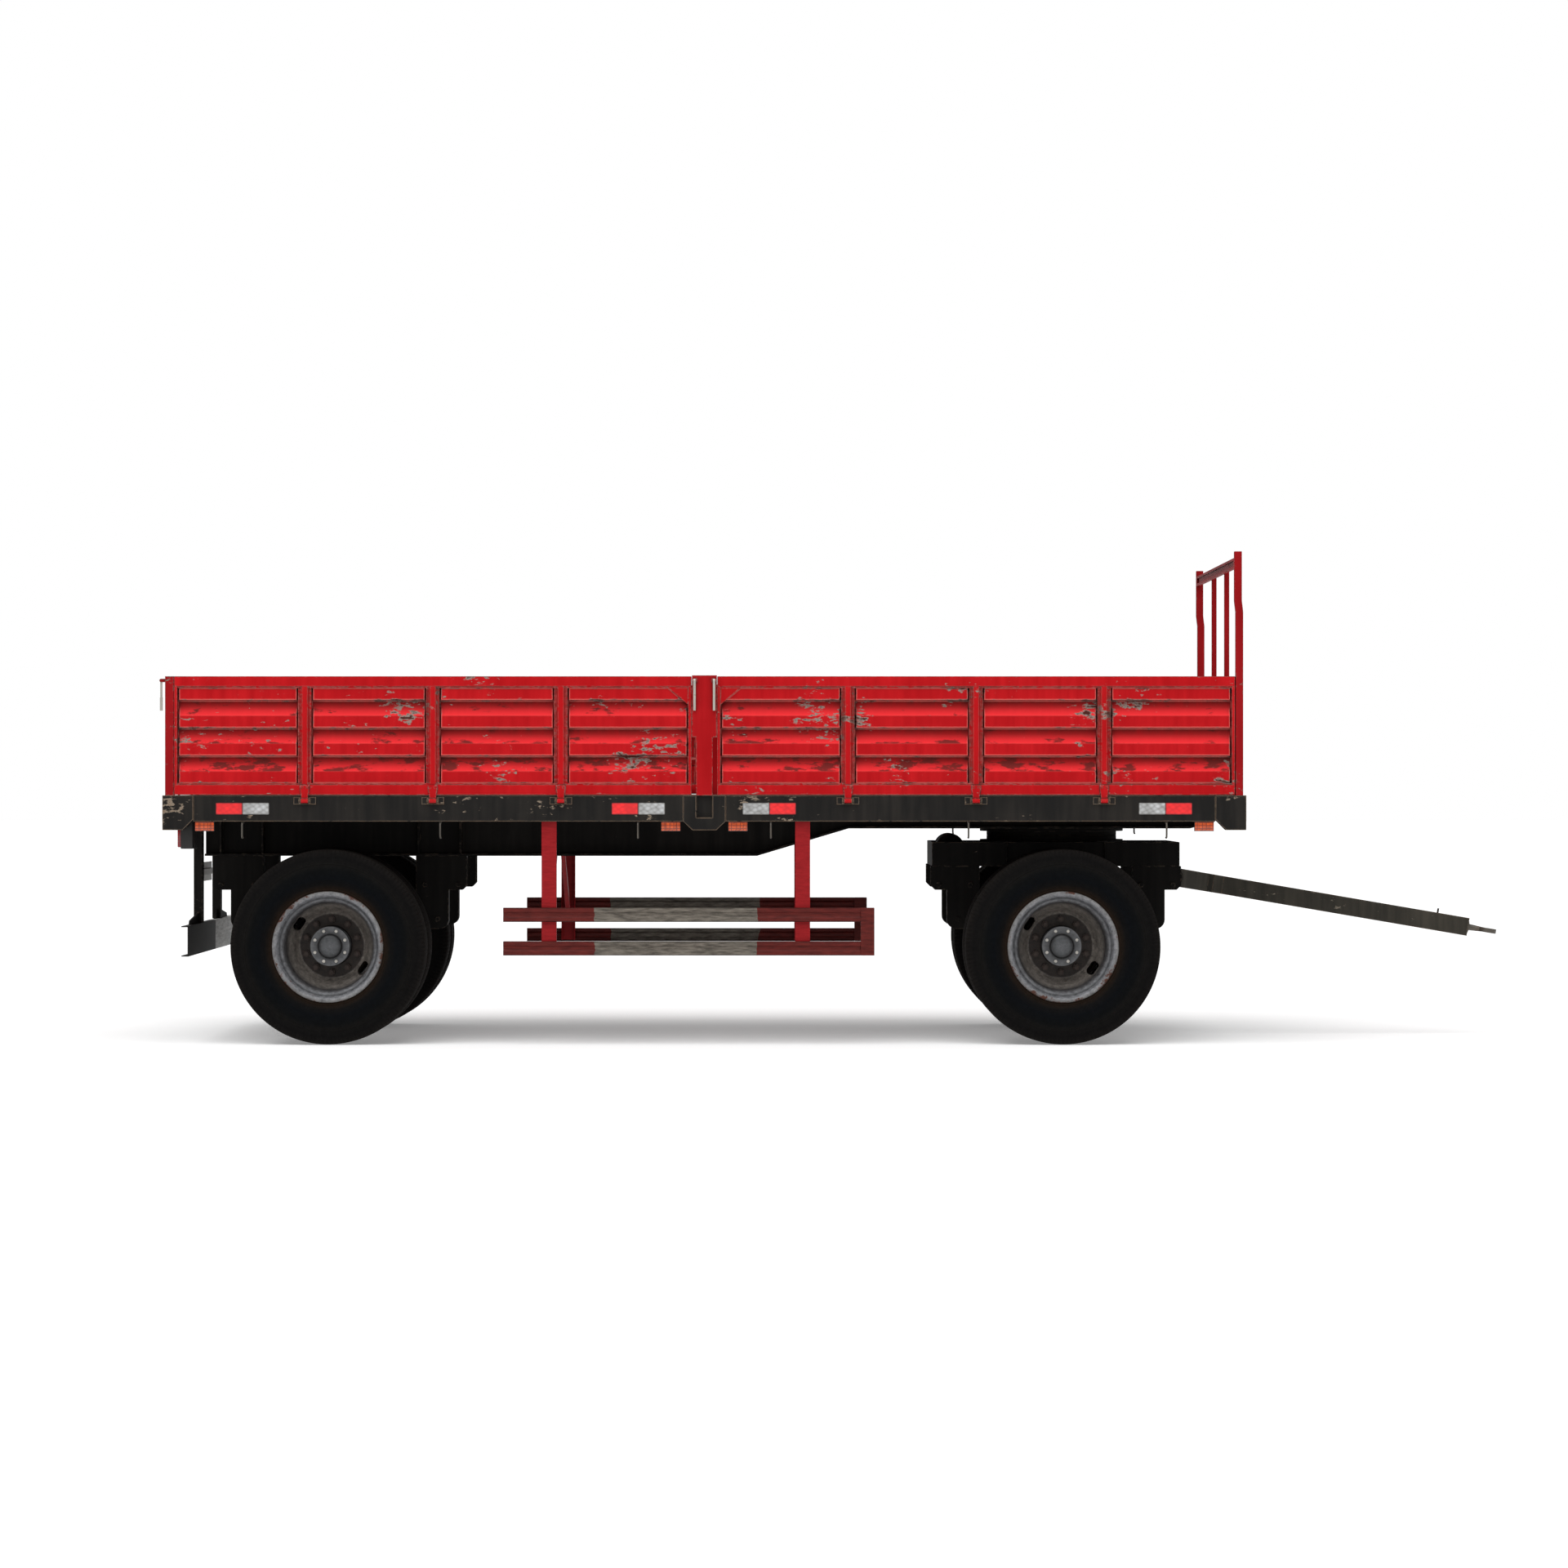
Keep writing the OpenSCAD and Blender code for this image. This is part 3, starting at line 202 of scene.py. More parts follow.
    # the corners are darkened, partly dirt and partly painted shade: the less of its surroundings a point can see,
    # the darker it is painted
    hollow = add(tree, "AmbientOcclusion", {"samples": 4, "Distance": 0.07})
    corner_dirt_and_shade = add(tree, "MapRange", {"From Min": 0.85, "From Max": 0.35, "To Max": dirt_and_shade},
                 {"Value": hollow.outputs["AO"]})
    uneven = add(tree, "MapRange", {"From Min": 0.25, "From Max": 0.6, "To Min": 0.45},
                 {"Value": small.outputs["Fac"]})
    film = add(tree, "Math", {"operation": "MULTIPLY"}, {0: corner_dirt_and_shade.outputs[0], 1: uneven.outputs[0]})
    dirt_and_shade_coat = add(tree, "Mix", {"data_type": "RGBA", 7: linear(grime_and_shade)}, {0: film.outputs[0], 6: chipped.outputs[2]})
    dull = add(tree, "MapRange", {"To Min": rough, "To Max": 0.85}, {"Value": bare.outputs[0]})
    # the paint film is about 0.3 mm thick, so each chip has a small step
    step = add(tree, "Math", {"operation": "SUBTRACT", 0: 1.0}, {1: bare.outputs[0]})
    relief = add(tree, "Math", {"operation": "MULTIPLY_ADD", 1: 0.25},
                 {0: small.outputs["Fac"], 2: step.outputs[0]})
    bump = add(tree, "Bump", {"Strength": 0.5, "Distance": 0.0008}, {"Height": relief.outputs[0]})
    surface = add(tree, "BsdfPrincipled", {"IOR": 1.5, "Specular IOR Level": gloss},
                  {"Base Color": dirt_and_shade_coat.outputs[2], "Roughness": dull.outputs[0], "Normal": bump.outputs[0]})
    return finished(made, surface)


def dress(name, material, round_mm=2.0):
    """Gives a CAD node its material and takes the hard edge off its corners."""
    part = node[name]
    part.data.materials.clear()
    part.data.materials.append(material)
    weld = part.modifiers.new("weld", "WELD")
    weld.merge_threshold = 0.00004
    if round_mm:
        soft = part.modifiers.new("edges", "BEVEL")
        soft.width = round_mm / 1000
        soft.segments = 2
        soft.limit_method = "ANGLE"
        soft.angle_limit = math.radians(40)
        soft.harden_normals = True


chassis_paint = worn_paint("chassis_black_paint", "#171615", "#262320", "#857869", "#7a6654", rough=0.6, edge=0.72,
                           chips=1.0, dirt_and_shade=0.5)
under_paint = worn_paint("underside_black_paint", "#0f0e0d", "#1b1917", "#5a5147", "#4a3c31", rough=0.65, edge=0.42,
                         chips=0.4, dirt_and_shade=0.6, gloss=0.08)
red_paint = worn_paint("sprayed_red_paint", "#9c0a10", "#ae1319", "#8a8078", "#33231f", rough=0.45, edge=0.52,
                       chips=0.7, dirt_and_shade=0.85, grime_and_shade="#2a0d0c", gloss=0.08)
rack_paint = worn_paint("dull_rack_paint", "#860a0f", "#981217", "#7d6f67", "#4a302a", rough=0.5, edge=0.30,
                        chips=0.6, dirt_and_shade=0.85, grime_and_shade="#2a0d0c", gloss=0.08)
for name in ("side_rails", "end_rails", "corner_blocks", "post_sockets", "hinge_brackets"):
    dress(name, chassis_paint)
for name in ("main_beams", "cross_members", "underride_uprights", "rear_hangers", "turntable_upper",
             "turntable_lower", "bogie_beams", "bogie_crossmembers", "bogie_hangers"):
    dress(name, under_paint)
dress("centre_posts", red_paint)
for name in ("rear_posts", "rack_uprights", "rack_rail"):
    dress(name, rack_paint)

# ---- Pressed boards ------------------------------------------------------------------------------
# The drop sides, the tailgate and the headboard are 3 mm steel sheet with long pressed troughs,
# welded into a frame of box section. Three hat-section ribs stiffen each board, and a forged strap
# riveted below each rib wraps round its hinge pin.


def rounded_bar(bm, low, high, r):
    """A box from low to high with its corners rounded to radius r, in metres."""
    made = bmesh.ops.create_cube(bm, size=1.0)["verts"]
    for v in made:
        v.co = Vector([low[i] + (v.co[i] + 0.5) * (high[i] - low[i]) for i in range(3)])
    edges = list(dict.fromkeys(e for v in made for e in v.link_edges))
    if r:
        bmesh.ops.bevel(bm, geom=edges, offset=r, segments=2, profile=0.6, affect="EDGES")


def prism(bm, outline, low, high, axis=1):
    """A flat outline, given in the other two axes, extended from low to high along one axis."""
    def at(p, d):
        q = list(p)
        q.insert(axis, d)
        return bm.verts.new(q)
    a, b = [at(p, low) for p in outline], [at(p, high) for p in outline]
    n = len(outline)
    faces = [bm.faces.new(a), bm.faces.new(b[::-1])]
    faces += [bm.faces.new((a[i], b[i], b[(i + 1) % n], a[(i + 1) % n])) for i in range(n)]
    return faces


def lathe(bm, outline, turns, place=Matrix.Identity(4)):
    """A closed outline of (radius, height) points turned about Z, then placed."""
    rings = []
    for i in range(turns):
        a = 2 * math.pi * i / turns
        rings.append([bm.verts.new(place @ Vector((r * math.cos(a), r * math.sin(a), z))) for r, z in outline])
    n = len(outline)
    for i in range(turns):
        one, two = rings[i], rings[(i + 1) % turns]
        for k in range(n):
            bm.faces.new((one[k], two[k], two[(k + 1) % n], one[(k + 1) % n]))


def finish_piece(name, bm, material, body, place=Matrix.Identity(4), smooth=35):
    """Turns a finished bmesh into a piece of the object that rides on a body."""
    bmesh.ops.remove_doubles(bm, verts=bm.verts, dist=1e-6)
    bmesh.ops.recalc_face_normals(bm, faces=bm.faces)
    bm.transform(place)
    if place.to_3x3().determinant() < 0:
        bmesh.ops.reverse_faces(bm, faces=bm.faces)
    mesh = bpy.data.meshes.new(name)
    bm.to_mesh(mesh)
    bm.free()
    mesh.materials.append(material)
    mesh.polygons.foreach_set("use_smooth", [True] * len(mesh.polygons))
    mesh.set_sharp_from_angle(angle=math.radians(smooth))
    piece = bpy.data.objects.new(name, mesh)
    scene.collection.objects.link(piece)
    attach(piece, body)
    return piece


board_height, board_thick, headboard_thick = 0.638, 0.050, 0.044
trough_foot, trough_pitch, trough_tall, trough_depth = 0.129, 0.149, 0.086, 0.025
hinge_gap = 0.003
sheet_set_back = 0.010
sheet_gauge = 0.003
frame_foot, frame_top, frame_end = 0.058, 0.055, 0.017
rib_lip, rib_crown = 0.070, 0.030
# ribs stand this share of the board apart
rib_pitch = 0.2475


def pressed_board(name, body, place, length, thick, gap, hinged, gussets):
    """A board along X from the origin, with its outer face on Y = 0 and its foot on Z = 0.

    gussets lists the ends, 1 for the near and -1 for the far, that have a plate across the upper corner."""
    bm = bmesh.new()
    under_top = board_height - frame_top
    troughs = [(trough_foot + trough_pitch * i, trough_foot + trough_tall + trough_pitch * i) for i in range(3)]
    ribs = [length / 2 + (i - 1) * rib_pitch * length for i in range(3)]
    # bays between the ribs, and the grid lines across and up the sheet
    stops = [frame_end] + [x + s * rib_lip / 2 for x in ribs for s in (-1, 1)] + [length - frame_end]
    bays = [(stops[i], stops[i + 1]) for i in range(0, 8, 2)]
    across = [frame_end - 0.004]
    for x0, x1 in bays:
        steps = [0.002, 0.006, 0.010, 0.015, 0.020, 0.026, 0.032, 0.040]
        across += [x0 + s for s in steps]
        across += [x0 + 0.040 + (x1 - x0 - 0.080) * i / 6 for i in range(1, 6)]
        across += [x1 - s for s in reversed(steps)]
    across.append(length - frame_end + 0.004)
    up = [frame_foot - 0.006, frame_foot + 0.02]
    for z0, z1 in troughs:
        h = z1 - z0
        up += [z0 - 0.010, z0 - 0.002] + [z0 + h * f for f in (0.02, 0.06, 0.12, 0.19, 0.27, 0.36, 0.46, 0.58, 0.72,
                                                                 0.84, 0.90, 0.935, 0.965, 0.985)]
        up += [z1 + 0.001, z1 + 0.010]
    up += [under_top - 0.02, under_top + 0.006]

    def ease(t):
        t = min(max(t, 0.0), 1.0)
        return t * t * (3 - 2 * t)

    def depth(x, z):
        ridge = 0.0
        for x0, x1 in bays:
            if x0 <= x <= x1:
                ridge = ease((x - x0 - 0.001) / 0.009) * ease((x1 - 0.001 - x) / 0.009)
        for z0, z1 in troughs:
            if z0 < z < z1:
                t = (z - z0) / (z1 - z0)
                curl = math.sin(math.pi / 2 * min(1, t / 0.88)) * ease((1 - t) / 0.08)
                return trough_depth * (1 - ridge * (1 - curl))
        return trough_depth * (1 - ridge)

    def layer(back):
        return [[bm.verts.new((x, -sheet_set_back - depth(x, z) - back, z)) for x in across] for z in up]

    front, rear = layer(0.0), layer(sheet_gauge)
    for sheet in (front, rear):
        for j in range(len(up) - 1):
            for i in range(len(across) - 1):
                face = bm.faces.new((sheet[j][i], sheet[j][i + 1], sheet[j + 1][i + 1], sheet[j + 1][i]))
                face.material_index = 1
    rim_front = front[0] + [r[-1] for r in front[1:]] + front[-1][-2::-1] + [r[0] for r in front[-2:0:-1]]
    rim_rear = rear[0] + [r[-1] for r in rear[1:]] + rear[-1][-2::-1] + [r[0] for r in rear[-2:0:-1]]
    n = len(rim_front)
    for i in range(n):
        bm.faces.new((rim_front[i], rim_front[(i + 1) % n], rim_rear[(i + 1) % n], rim_rear[i]))
    # frame of box section with a turned lip inside it
    rounded_bar(bm, (0, -thick, gap), (length, 0, frame_foot), 0.003)
    rounded_bar(bm, (0, -thick, under_top), (length, 0, board_height), 0.003)
    for x in (0, length - frame_end):
        rounded_bar(bm, (x, -thick, frame_foot - 0.002), (x + frame_end, -0.0005, under_top + 0.002), 0.002)
    rounded_bar(bm, (frame_end, -0.012, frame_foot - 0.002), (length - frame_end, -0.004, frame_foot + 0.008), 0.001)
    rounded_bar(bm, (frame_end, -0.012, under_top - 0.008),
                (length - frame_end, -0.004, under_top + 0.002), 0.001)
    for x in ribs:
        foot, top = frame_foot - 0.001, under_top + 0.001
        # hat section: two turned lips, two sloping sides and a flat crown
        lip, side, crown = rib_lip / 2, rib_crown / 2 + 0.007, rib_crown / 2
        prism(bm, [(x - lip, -0.044), (x + lip, -0.044), (x + lip, -0.004), (x + lip - 0.004, -0.002),
                   (x + lip - 0.008, -0.007), (x + side, -0.008), (x + crown, 0.0), (x - crown, 0.0),
                   (x - side, -0.008), (x - lip + 0.008, -0.007), (x - lip + 0.004, -0.002), (x - lip, -0.004)],
              foot, top, axis=2)
    for s in gussets:
        x = frame_end - 0.002 if s > 0 else length - frame_end + 0.002
        prism(bm, [(x, under_top + 0.002), (x + s * 0.118, under_top + 0.002),
                   (x + s * 0.104, under_top - 0.012), (x, under_top - 0.100)], -0.012, -0.0035)
    if hinged:
        for x in ribs:
            # forged strap, wider above its two rivets, ending in a knuckle round the pin
            prism(bm, [(x - 0.016, -0.029), (x + 0.016, -0.029), (x + 0.020, 0.010), (x + 0.024, 0.034),
                       (x + 0.024, 0.056), (x - 0.024, 0.056), (x - 0.024, 0.034), (x - 0.020, 0.010)], -0.001, 0.007)
            ring = [(0.00605, -0.020), (0.0115, -0.020), (0.012, -0.0185), (0.012, 0.0185), (0.0115, 0.020),
                    (0.00605, 0.020)]
            lathe(bm, ring, 28, Matrix.Translation((x, 0.012, -0.029)) @ Matrix.Rotation(math.pi / 2, 4, "Y"))
            for s in (-0.0155, 0.0155):
                dome = [(0.0, 0.0), (0.0065, 0.0), (0.006, 0.002), (0.004, 0.0036), (0.0015, 0.0042), (0.0, 0.0043)]
                rivet = Matrix.Translation((x + s, 0.0065, 0.044)) @ Matrix.Rotation(-math.pi / 2, 4, "X")
                lathe(bm, dome, 14, rivet)
    board = finish_piece(name, bm, board_paint, body, place, smooth=30)
    board.data.materials.append(sheet_paint)
    return board


board_paint = worn_paint("board_frame_paint", "#a80b11", "#bb141a", "#8f857d", "#5b3a33", rough=0.45, edge=0.62,
                         chips=0.95, dirt_and_shade=0.95, grime_and_shade="#2a0b0b", gloss=0.08)
board_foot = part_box("board_rear_right")[1][2] - board_height
# the sheet's troughs carry a painted highlight on their lower half and painted shade under the step at their top
sheet_paint = worn_paint("pressed_sheet_paint", "#a90c13", "#bd151b", "#8f857d", "#4a211c", rough=0.45, edge=0.25,
                         chips=1.0, dirt_and_shade=0.8, grime_and_shade="#2a0b0b", gloss=0.08, crease=(0.999, 0.94),
                         rows=(board_foot + trough_foot, trough_pitch, trough_tall, "#ee2a30", "#501712"))
quarter_turn = Matrix.Rotation(math.pi / 2, 4, "Z")
for end in ("front", "rear"):
    for side, s in (("right", -1), ("left", 1)):
        name = "board_" + end + "_" + side
        low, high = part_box(name)
        foot = high[2] - board_height
        outer = min(abs(low[1]), abs(high[1])) + board_thick
        place = Matrix.Translation((low[0], s * outer, foot)) @ Matrix.Diagonal((1, s, 1, 1))
        board = pressed_board(name + "_panel", name, place, high[0] - low[0], board_thick, hinge_gap, True,
                              (1,) if end == "front" else (-1,))
        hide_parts(name)
low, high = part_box("tailgate")
place = Matrix.Translation((high[0] - board_thick, low[1], high[2] - board_height)) @ quarter_turn
gate = pressed_board("tailgate_panel", "tailgate", place, high[1] - low[1], board_thick, hinge_gap, True, (1, -1))
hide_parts("tailgate")
low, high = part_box("headboard")
place = Matrix.Translation((high[0], high[1], low[2])) @ quarter_turn.inverted()
head = pressed_board("headboard_panel", "chassis", place, high[1] - low[1], headboard_thick, 0.0, False, ())
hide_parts("headboard")

# ---- Steel deck ----------------------------------------------------------------------------------
# The floor is 4 mm steel plate, red oxide once, now scuffed bright and rusty where loads slide along
# it. It is stitch-welded to the cross members.
deck_paint = worn_paint("scuffed_deck_oxide", "#5a2a24", "#6e4438", "#7d776f", "#4a2c1e", rough=0.6, edge=0.5,
                        chips=1.6, dirt_and_shade=0.6)
dress("deck_floor", deck_paint)

# ---- Reflective tapes ----------------------------------------------------------------------------
# Conspicuity tape is stuck along the side rails in strips, each half red and half silver, pressed
# with small diamond cells that send light back.


def mirror_tape(name, colour, dark):
    """Retroreflective sheeting. Its diamond cells, 6 mm in the real tape, show as 20 mm ones."""
    made, tree = new_material(name)
    place = add(tree, "TexCoord").outputs["Object"]
    turned = add(tree, "Mapping", {"Rotation": (0, math.radians(38), 0), "Scale": (36.0, 1.0, 50.0)},
                 {"Vector": place})
    cells = add(tree, "TexVoronoi", {"Scale": 1.0, "Randomness": 0.35}, {"Vector": turned.outputs[0]})
    soil = add(tree, "TexNoise", {"Scale": 14.0, "Detail": 6.0}, {"Vector": place})
    tone = add(tree, "Mix", {"data_type": "FLOAT"},
               {0: soil.outputs["Fac"], 2: cells.outputs["Distance"], 3: soil.outputs["Fac"]})
    base = add(tree, "MapRange", {"From Min": 0.25, "From Max": 0.65}, {"Value": tone.outputs[0]})
    coloured = add(tree, "Mix", {"data_type": "RGBA", 6: linear(colour), 7: linear(dark)}, {0: base.outputs[0]})
    bump = add(tree, "Bump", {"Strength": 0.3, "Distance": 0.0006}, {"Height": cells.outputs["Distance"]})
    surface = add(tree, "BsdfPrincipled", {"Roughness": 0.3, "Coat Weight": 0.4, "Coat Roughness": 0.2},
                  {"Base Color": coloured.outputs[2], "Normal": bump.outputs[0]})
    return finished(made, surface)


def tape_strip(name, box, film, edge):
    """Half of a strip: a film with rounded corners and a darker, sealed border about 4 mm wide."""
    low, high = box
    bm = bmesh.new()
    half_x, half_z, r, border = (high[0] - low[0]) / 2, (high[2] - low[2]) / 2, 0.005, 0.0042
    thick = high[1] - low[1]

    def outline(inset):
        points = []
        for cx, cz, start in ((half_x - r, half_z - r, 0), (r - half_x, half_z - r, 90),
                              (r - half_x, r - half_z, 180), (half_x - r, r - half_z, 270)):
            for step in range(5):
                a = math.radians(start + step * 22.5)
                points.append((cx + (r - inset) * math.cos(a), cz + (r - inset) * math.sin(a)))
        return points
    side = -1 if low[1] < 0 else 1
    prism(bm, outline(0.0), -0.5 * thick, 0.5 * thick)
    y0, y1 = sorted((0.0, side * 0.5 * thick + side * 0.0001))
    for face in prism(bm, outline(border), y0, y1):
        face.material_index = 1
    middle = Matrix.Translation([(low[i] + high[i]) / 2 for i in range(3)])
    strip = finish_piece(name, bm, edge, "chassis", middle)
    strip.data.materials.append(film)
    return strip


red_film = mirror_tape("red_mirror_tape", "#ff1a1e", "#d40c14")
red_edge = mirror_tape("red_tape_border", "#b80c16", "#860a12")
silver_film = mirror_tape("silver_mirror_tape", "#cfd1d3", "#858583")
silver_edge = mirror_tape("silver_tape_border", "#a3a3a1", "#6a6866")


def loose_parts(name):
    """The boxes of a CAD node's separate solids, from rear to front and then right to left."""
    mesh = node[name].data
    links = list(range(len(mesh.vertices)))

    def root(i):
        while links[i] != i:
            links[i] = links[links[i]]
            i = links[i]
        return i
    seen = {}
    for v in mesh.vertices:
        key = tuple(round(c, 5) for c in v.co)
        if key in seen:
            links[root(v.index)] = root(seen[key])
        else:
            seen[key] = v.index
    for e in mesh.edges:
        links[root(e.vertices[0])] = root(e.vertices[1])
    groups = {}
    for v in mesh.vertices:
        groups.setdefault(root(v.index), []).append(v.co)
    boxes = [([min(p[i] for p in g) for i in range(3)], [max(p[i] for p in g) for i in range(3)])
             for g in groups.values()]
    return sorted(boxes, key=lambda b: (round(b[0][1], 2), round(b[0][0], 2)))


for i, box in enumerate(loose_parts("reflector_tapes")):
    # the two rear strips start with red, and the two front ones with silver
    red = i % 8 in (0, 2, 5, 7)
    tape_strip("tape_%02d" % (i + 1), box, red_film if red else silver_film,
                             red_edge if red else silver_edge)
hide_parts("reflector_tapes")

# ---- Side markers and tail lamps -----------------------------------------------------------------
# Each side marker is a moulded amber lens on a black base, with a raised middle and a grid of prisms.
# The tail lamps are red lenses with a clear strip, set in a black housing.


def lens_plastic(name, colour, deep, ribs):
    """Moulded acrylic lens. It glows in its own colour, and its prisms stand in a grid."""
    made, tree = new_material(name)
    where = add(tree, "TexCoord").outputs["Object"]
    place = add(tree, "SeparateXYZ", feeds={0: where}).outputs
    rows = add(tree, "TexBrick", {"offset": 0.0, "Scale": ribs, "Color1": (1, 1, 1, 1),
                                  "Color2": (0.8, 0.8, 0.8, 1), "Mortar": (0.12, 0.12, 0.12, 1),
                                  "Mortar Size": 0.16, "Mortar Smooth": 0.4, "Brick Width": 1.3,
                                  "Row Height": 1.0},
               {"Vector": add(tree, "CombineXYZ", feeds=dict(zip("XY", [
                   add(tree, "Math", {"operation": "ADD"}, {0: place[0], 1: place[1]}).outputs[0],
                   place[2]]))).outputs[0]})
    soil = add(tree, "TexNoise", {"Scale": 40.0, "Detail": 5.0}, {"Vector": where})
    tone = add(tree, "Math", {"operation": "MULTIPLY"}, {0: rows.outputs["Color"], 1: soil.outputs["Fac"]})
    base = add(tree, "Mix", {"data_type": "RGBA", 6: linear(deep), 7: linear(colour)}, {0: tone.outputs[0]})
    bump = add(tree, "Bump", {"Strength": 0.5, "Distance": 0.001}, {"Height": rows.outputs["Color"]})
    surface = add(tree, "BsdfPrincipled",
                  {"Roughness": 0.18, "IOR": 1.49, "Coat Weight": 0.5, "Emission Strength": 0.06},
                  {"Base Color": base.outputs[2], "Emission Color": base.outputs[2], "Normal": bump.outputs[0]})
    return finished(made, surface)


def moulding(name, colour, light, rough):
    """Moulded black plastic or rubber, slightly mottled."""
    made, tree = new_material(name)
    where = add(tree, "TexCoord").outputs["Object"]
    mottle = add(tree, "TexNoise", {"Scale": 30.0, "Detail": 8.0, "Roughness": 0.65}, {"Vector": where})
    base = add(tree, "Mix", {"data_type": "RGBA", 6: linear(colour), 7: linear(light)}, {0: mottle.outputs["Fac"]})
    bump = add(tree, "Bump", {"Strength": 0.25, "Distance": 0.0004}, {"Height": mottle.outputs["Fac"]})
    surface = add(tree, "BsdfPrincipled", {"Roughness": rough, "Specular IOR Level": 0.4},
                  {"Base Color": base.outputs[2], "Normal": bump.outputs[0]})
    return finished(made, surface)


amber = lens_plastic("amber_acrylic", "#f2600c", "#6a1f08", 62.0)
lamp_red = lens_plastic("red_acrylic", "#c01018", "#5a080c", 80.0)
clear_strip = lens_plastic("clear_acrylic", "#e6e6e2", "#8c8c88", 80.0)
black_plastic = moulding("black_lamp_plastic", "#141414", "#2a2927", 0.5)

for i, (low, high) in enumerate(loose_parts("side_markers")):
    side = -1 if low[1] < 0 else 1
    inner, outer = (high[1], low[1]) if side < 0 else (low[1], high[1])
    deep = abs(outer - inner)
    bm = bmesh.new()
    y0, y1 = sorted((inner, inner + side * deep * 0.35))
    rounded_bar(bm, (low[0], y0, low[2]), (high[0], y1, high[2]), 0.002)
    base = finish_piece("marker_base_%d" % (i + 1), bm, black_plastic, "chassis")
    bm = bmesh.new()
    y0, y1 = sorted((inner + side * deep * 0.3, inner + side * deep * 0.8))
    rounded_bar(bm, (low[0] + 0.002, y0, low[2] + 0.002), (high[0] - 0.002, y1, high[2] - 0.002), 0.003)
    length = high[0] - low[0]
    y0, y1 = sorted((inner + side * deep * 0.5, outer - side * 0.0002))
    rounded_bar(bm, (low[0] + 0.24 * length, y0, low[2] + 0.007), (high[0] - 0.24 * length, y1, high[2] - 0.007),
                0.0025)
    lens = finish_piece("marker_lens_%d" % (i + 1), bm, amber, "chassis")
    if i == 0:
        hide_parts("side_markers")

for i, (low, high) in enumerate(loose_parts("tail_lamps")):
    bm = bmesh.new()
    rounded_bar(bm, (low[0] + 0.018, low[1], low[2]), high, 0.006)
    housing = finish_piece("tail_lamp_housing_%d" % (i + 1), bm, black_plastic, "chassis")
    wide = high[1] - low[1]
    bm = bmesh.new()
    rounded_bar(bm, (low[0] + 0.0002, low[1] + 0.008, low[2] + 0.008),
                (low[0] + 0.024, low[1] + 0.62 * wide, high[2] - 0.008), 0.006)
    lens = finish_piece("tail_lamp_red_%d" % (i + 1), bm, lamp_red, "chassis")
    if i == 0:
        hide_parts("tail_lamps")
    bm = bmesh.new()
    rounded_bar(bm, (low[0] + 0.0012, low[1] + 0.63 * wide, low[2] + 0.008),
                (low[0] + 0.024, high[1] - 0.008, high[2] - 0.008), 0.005)
    strip = finish_piece("tail_lamp_clear_%d" % (i + 1), bm, clear_strip, "chassis")

plate_paint = moulding("blank_plate_enamel", "#c9c9c4", "#dededa", 0.35)
dress("number_plate", plate_paint)

# ---- Side guards and rear bar --------------------------------------------------------------------
# The guard rails are cold-rolled channel in red-brown paint, with a grey stretch where they were
# patched, and their supports are a clearer red to the rear. The bar under the tail is black on its
# right half and white on its left.


def two_tone(name, ends, middle, low, high, axis, rough=0.5):
    """Brushed-on paint of two colours along one axis. Its border is ragged and the coat is thin and streaky."""
    made, tree = new_material(name)
    where = add(tree, "TexCoord").outputs["Object"]
    split = add(tree, "SeparateXYZ", feeds={0: where})
    along = split.outputs[axis]
    ragged = add(tree, "TexNoise", {"Scale": 9.0, "Detail": 5.0}, {"Vector": where})
    shifted = add(tree, "Math", {"operation": "MULTIPLY_ADD", 1: 0.05}, {0: ragged.outputs["Fac"], 2: along})
    over = add(tree, "Math", {"operation": "GREATER_THAN", 1: low + 0.025}, {0: shifted.outputs[0]})
    under = add(tree, "Math", {"operation": "LESS_THAN", 1: high + 0.025}, {0: shifted.outputs[0]})
    inside = add(tree, "Math", {"operation": "MULTIPLY"}, {0: over.outputs[0], 1: under.outputs[0]})
    long = add(tree, "Mapping", {"Scale": (14.0, 14.0, 90.0) if axis == 0 else (30.0, 5.0, 60.0)},
               {"Vector": where})
    streak = add(tree, "TexNoise", {"Scale": 1.0, "Detail": 7.0, "Roughness": 0.65}, {"Vector": long.outputs[0]})
    tone = add(tree, "MapRange", {"From Min": 0.35, "From Max": 0.7}, {"Value": streak.outputs["Fac"]})
    outer_coat = add(tree, "Mix", {"data_type": "RGBA", 6: linear(ends[0]), 7: linear(ends[1])},
                     {0: tone.outputs[0]})
    inner_coat = add(tree, "Mix", {"data_type": "RGBA", 6: linear(middle[0]), 7: linear(middle[1])},
                     {0: tone.outputs[0]})
    base = add(tree, "Mix", {"data_type": "RGBA"},
               {0: inside.outputs[0], 6: outer_coat.outputs[2], 7: inner_coat.outputs[2]})
    bump = add(tree, "Bump", {"Strength": 0.3, "Distance": 0.0006}, {"Height": streak.outputs["Fac"]})
    surface = add(tree, "BsdfPrincipled", {"Roughness": rough, "Specular IOR Level": 0.15},
                  {"Base Color": base.outputs[2], "Normal": bump.outputs[0]})
    return finished(made, surface)


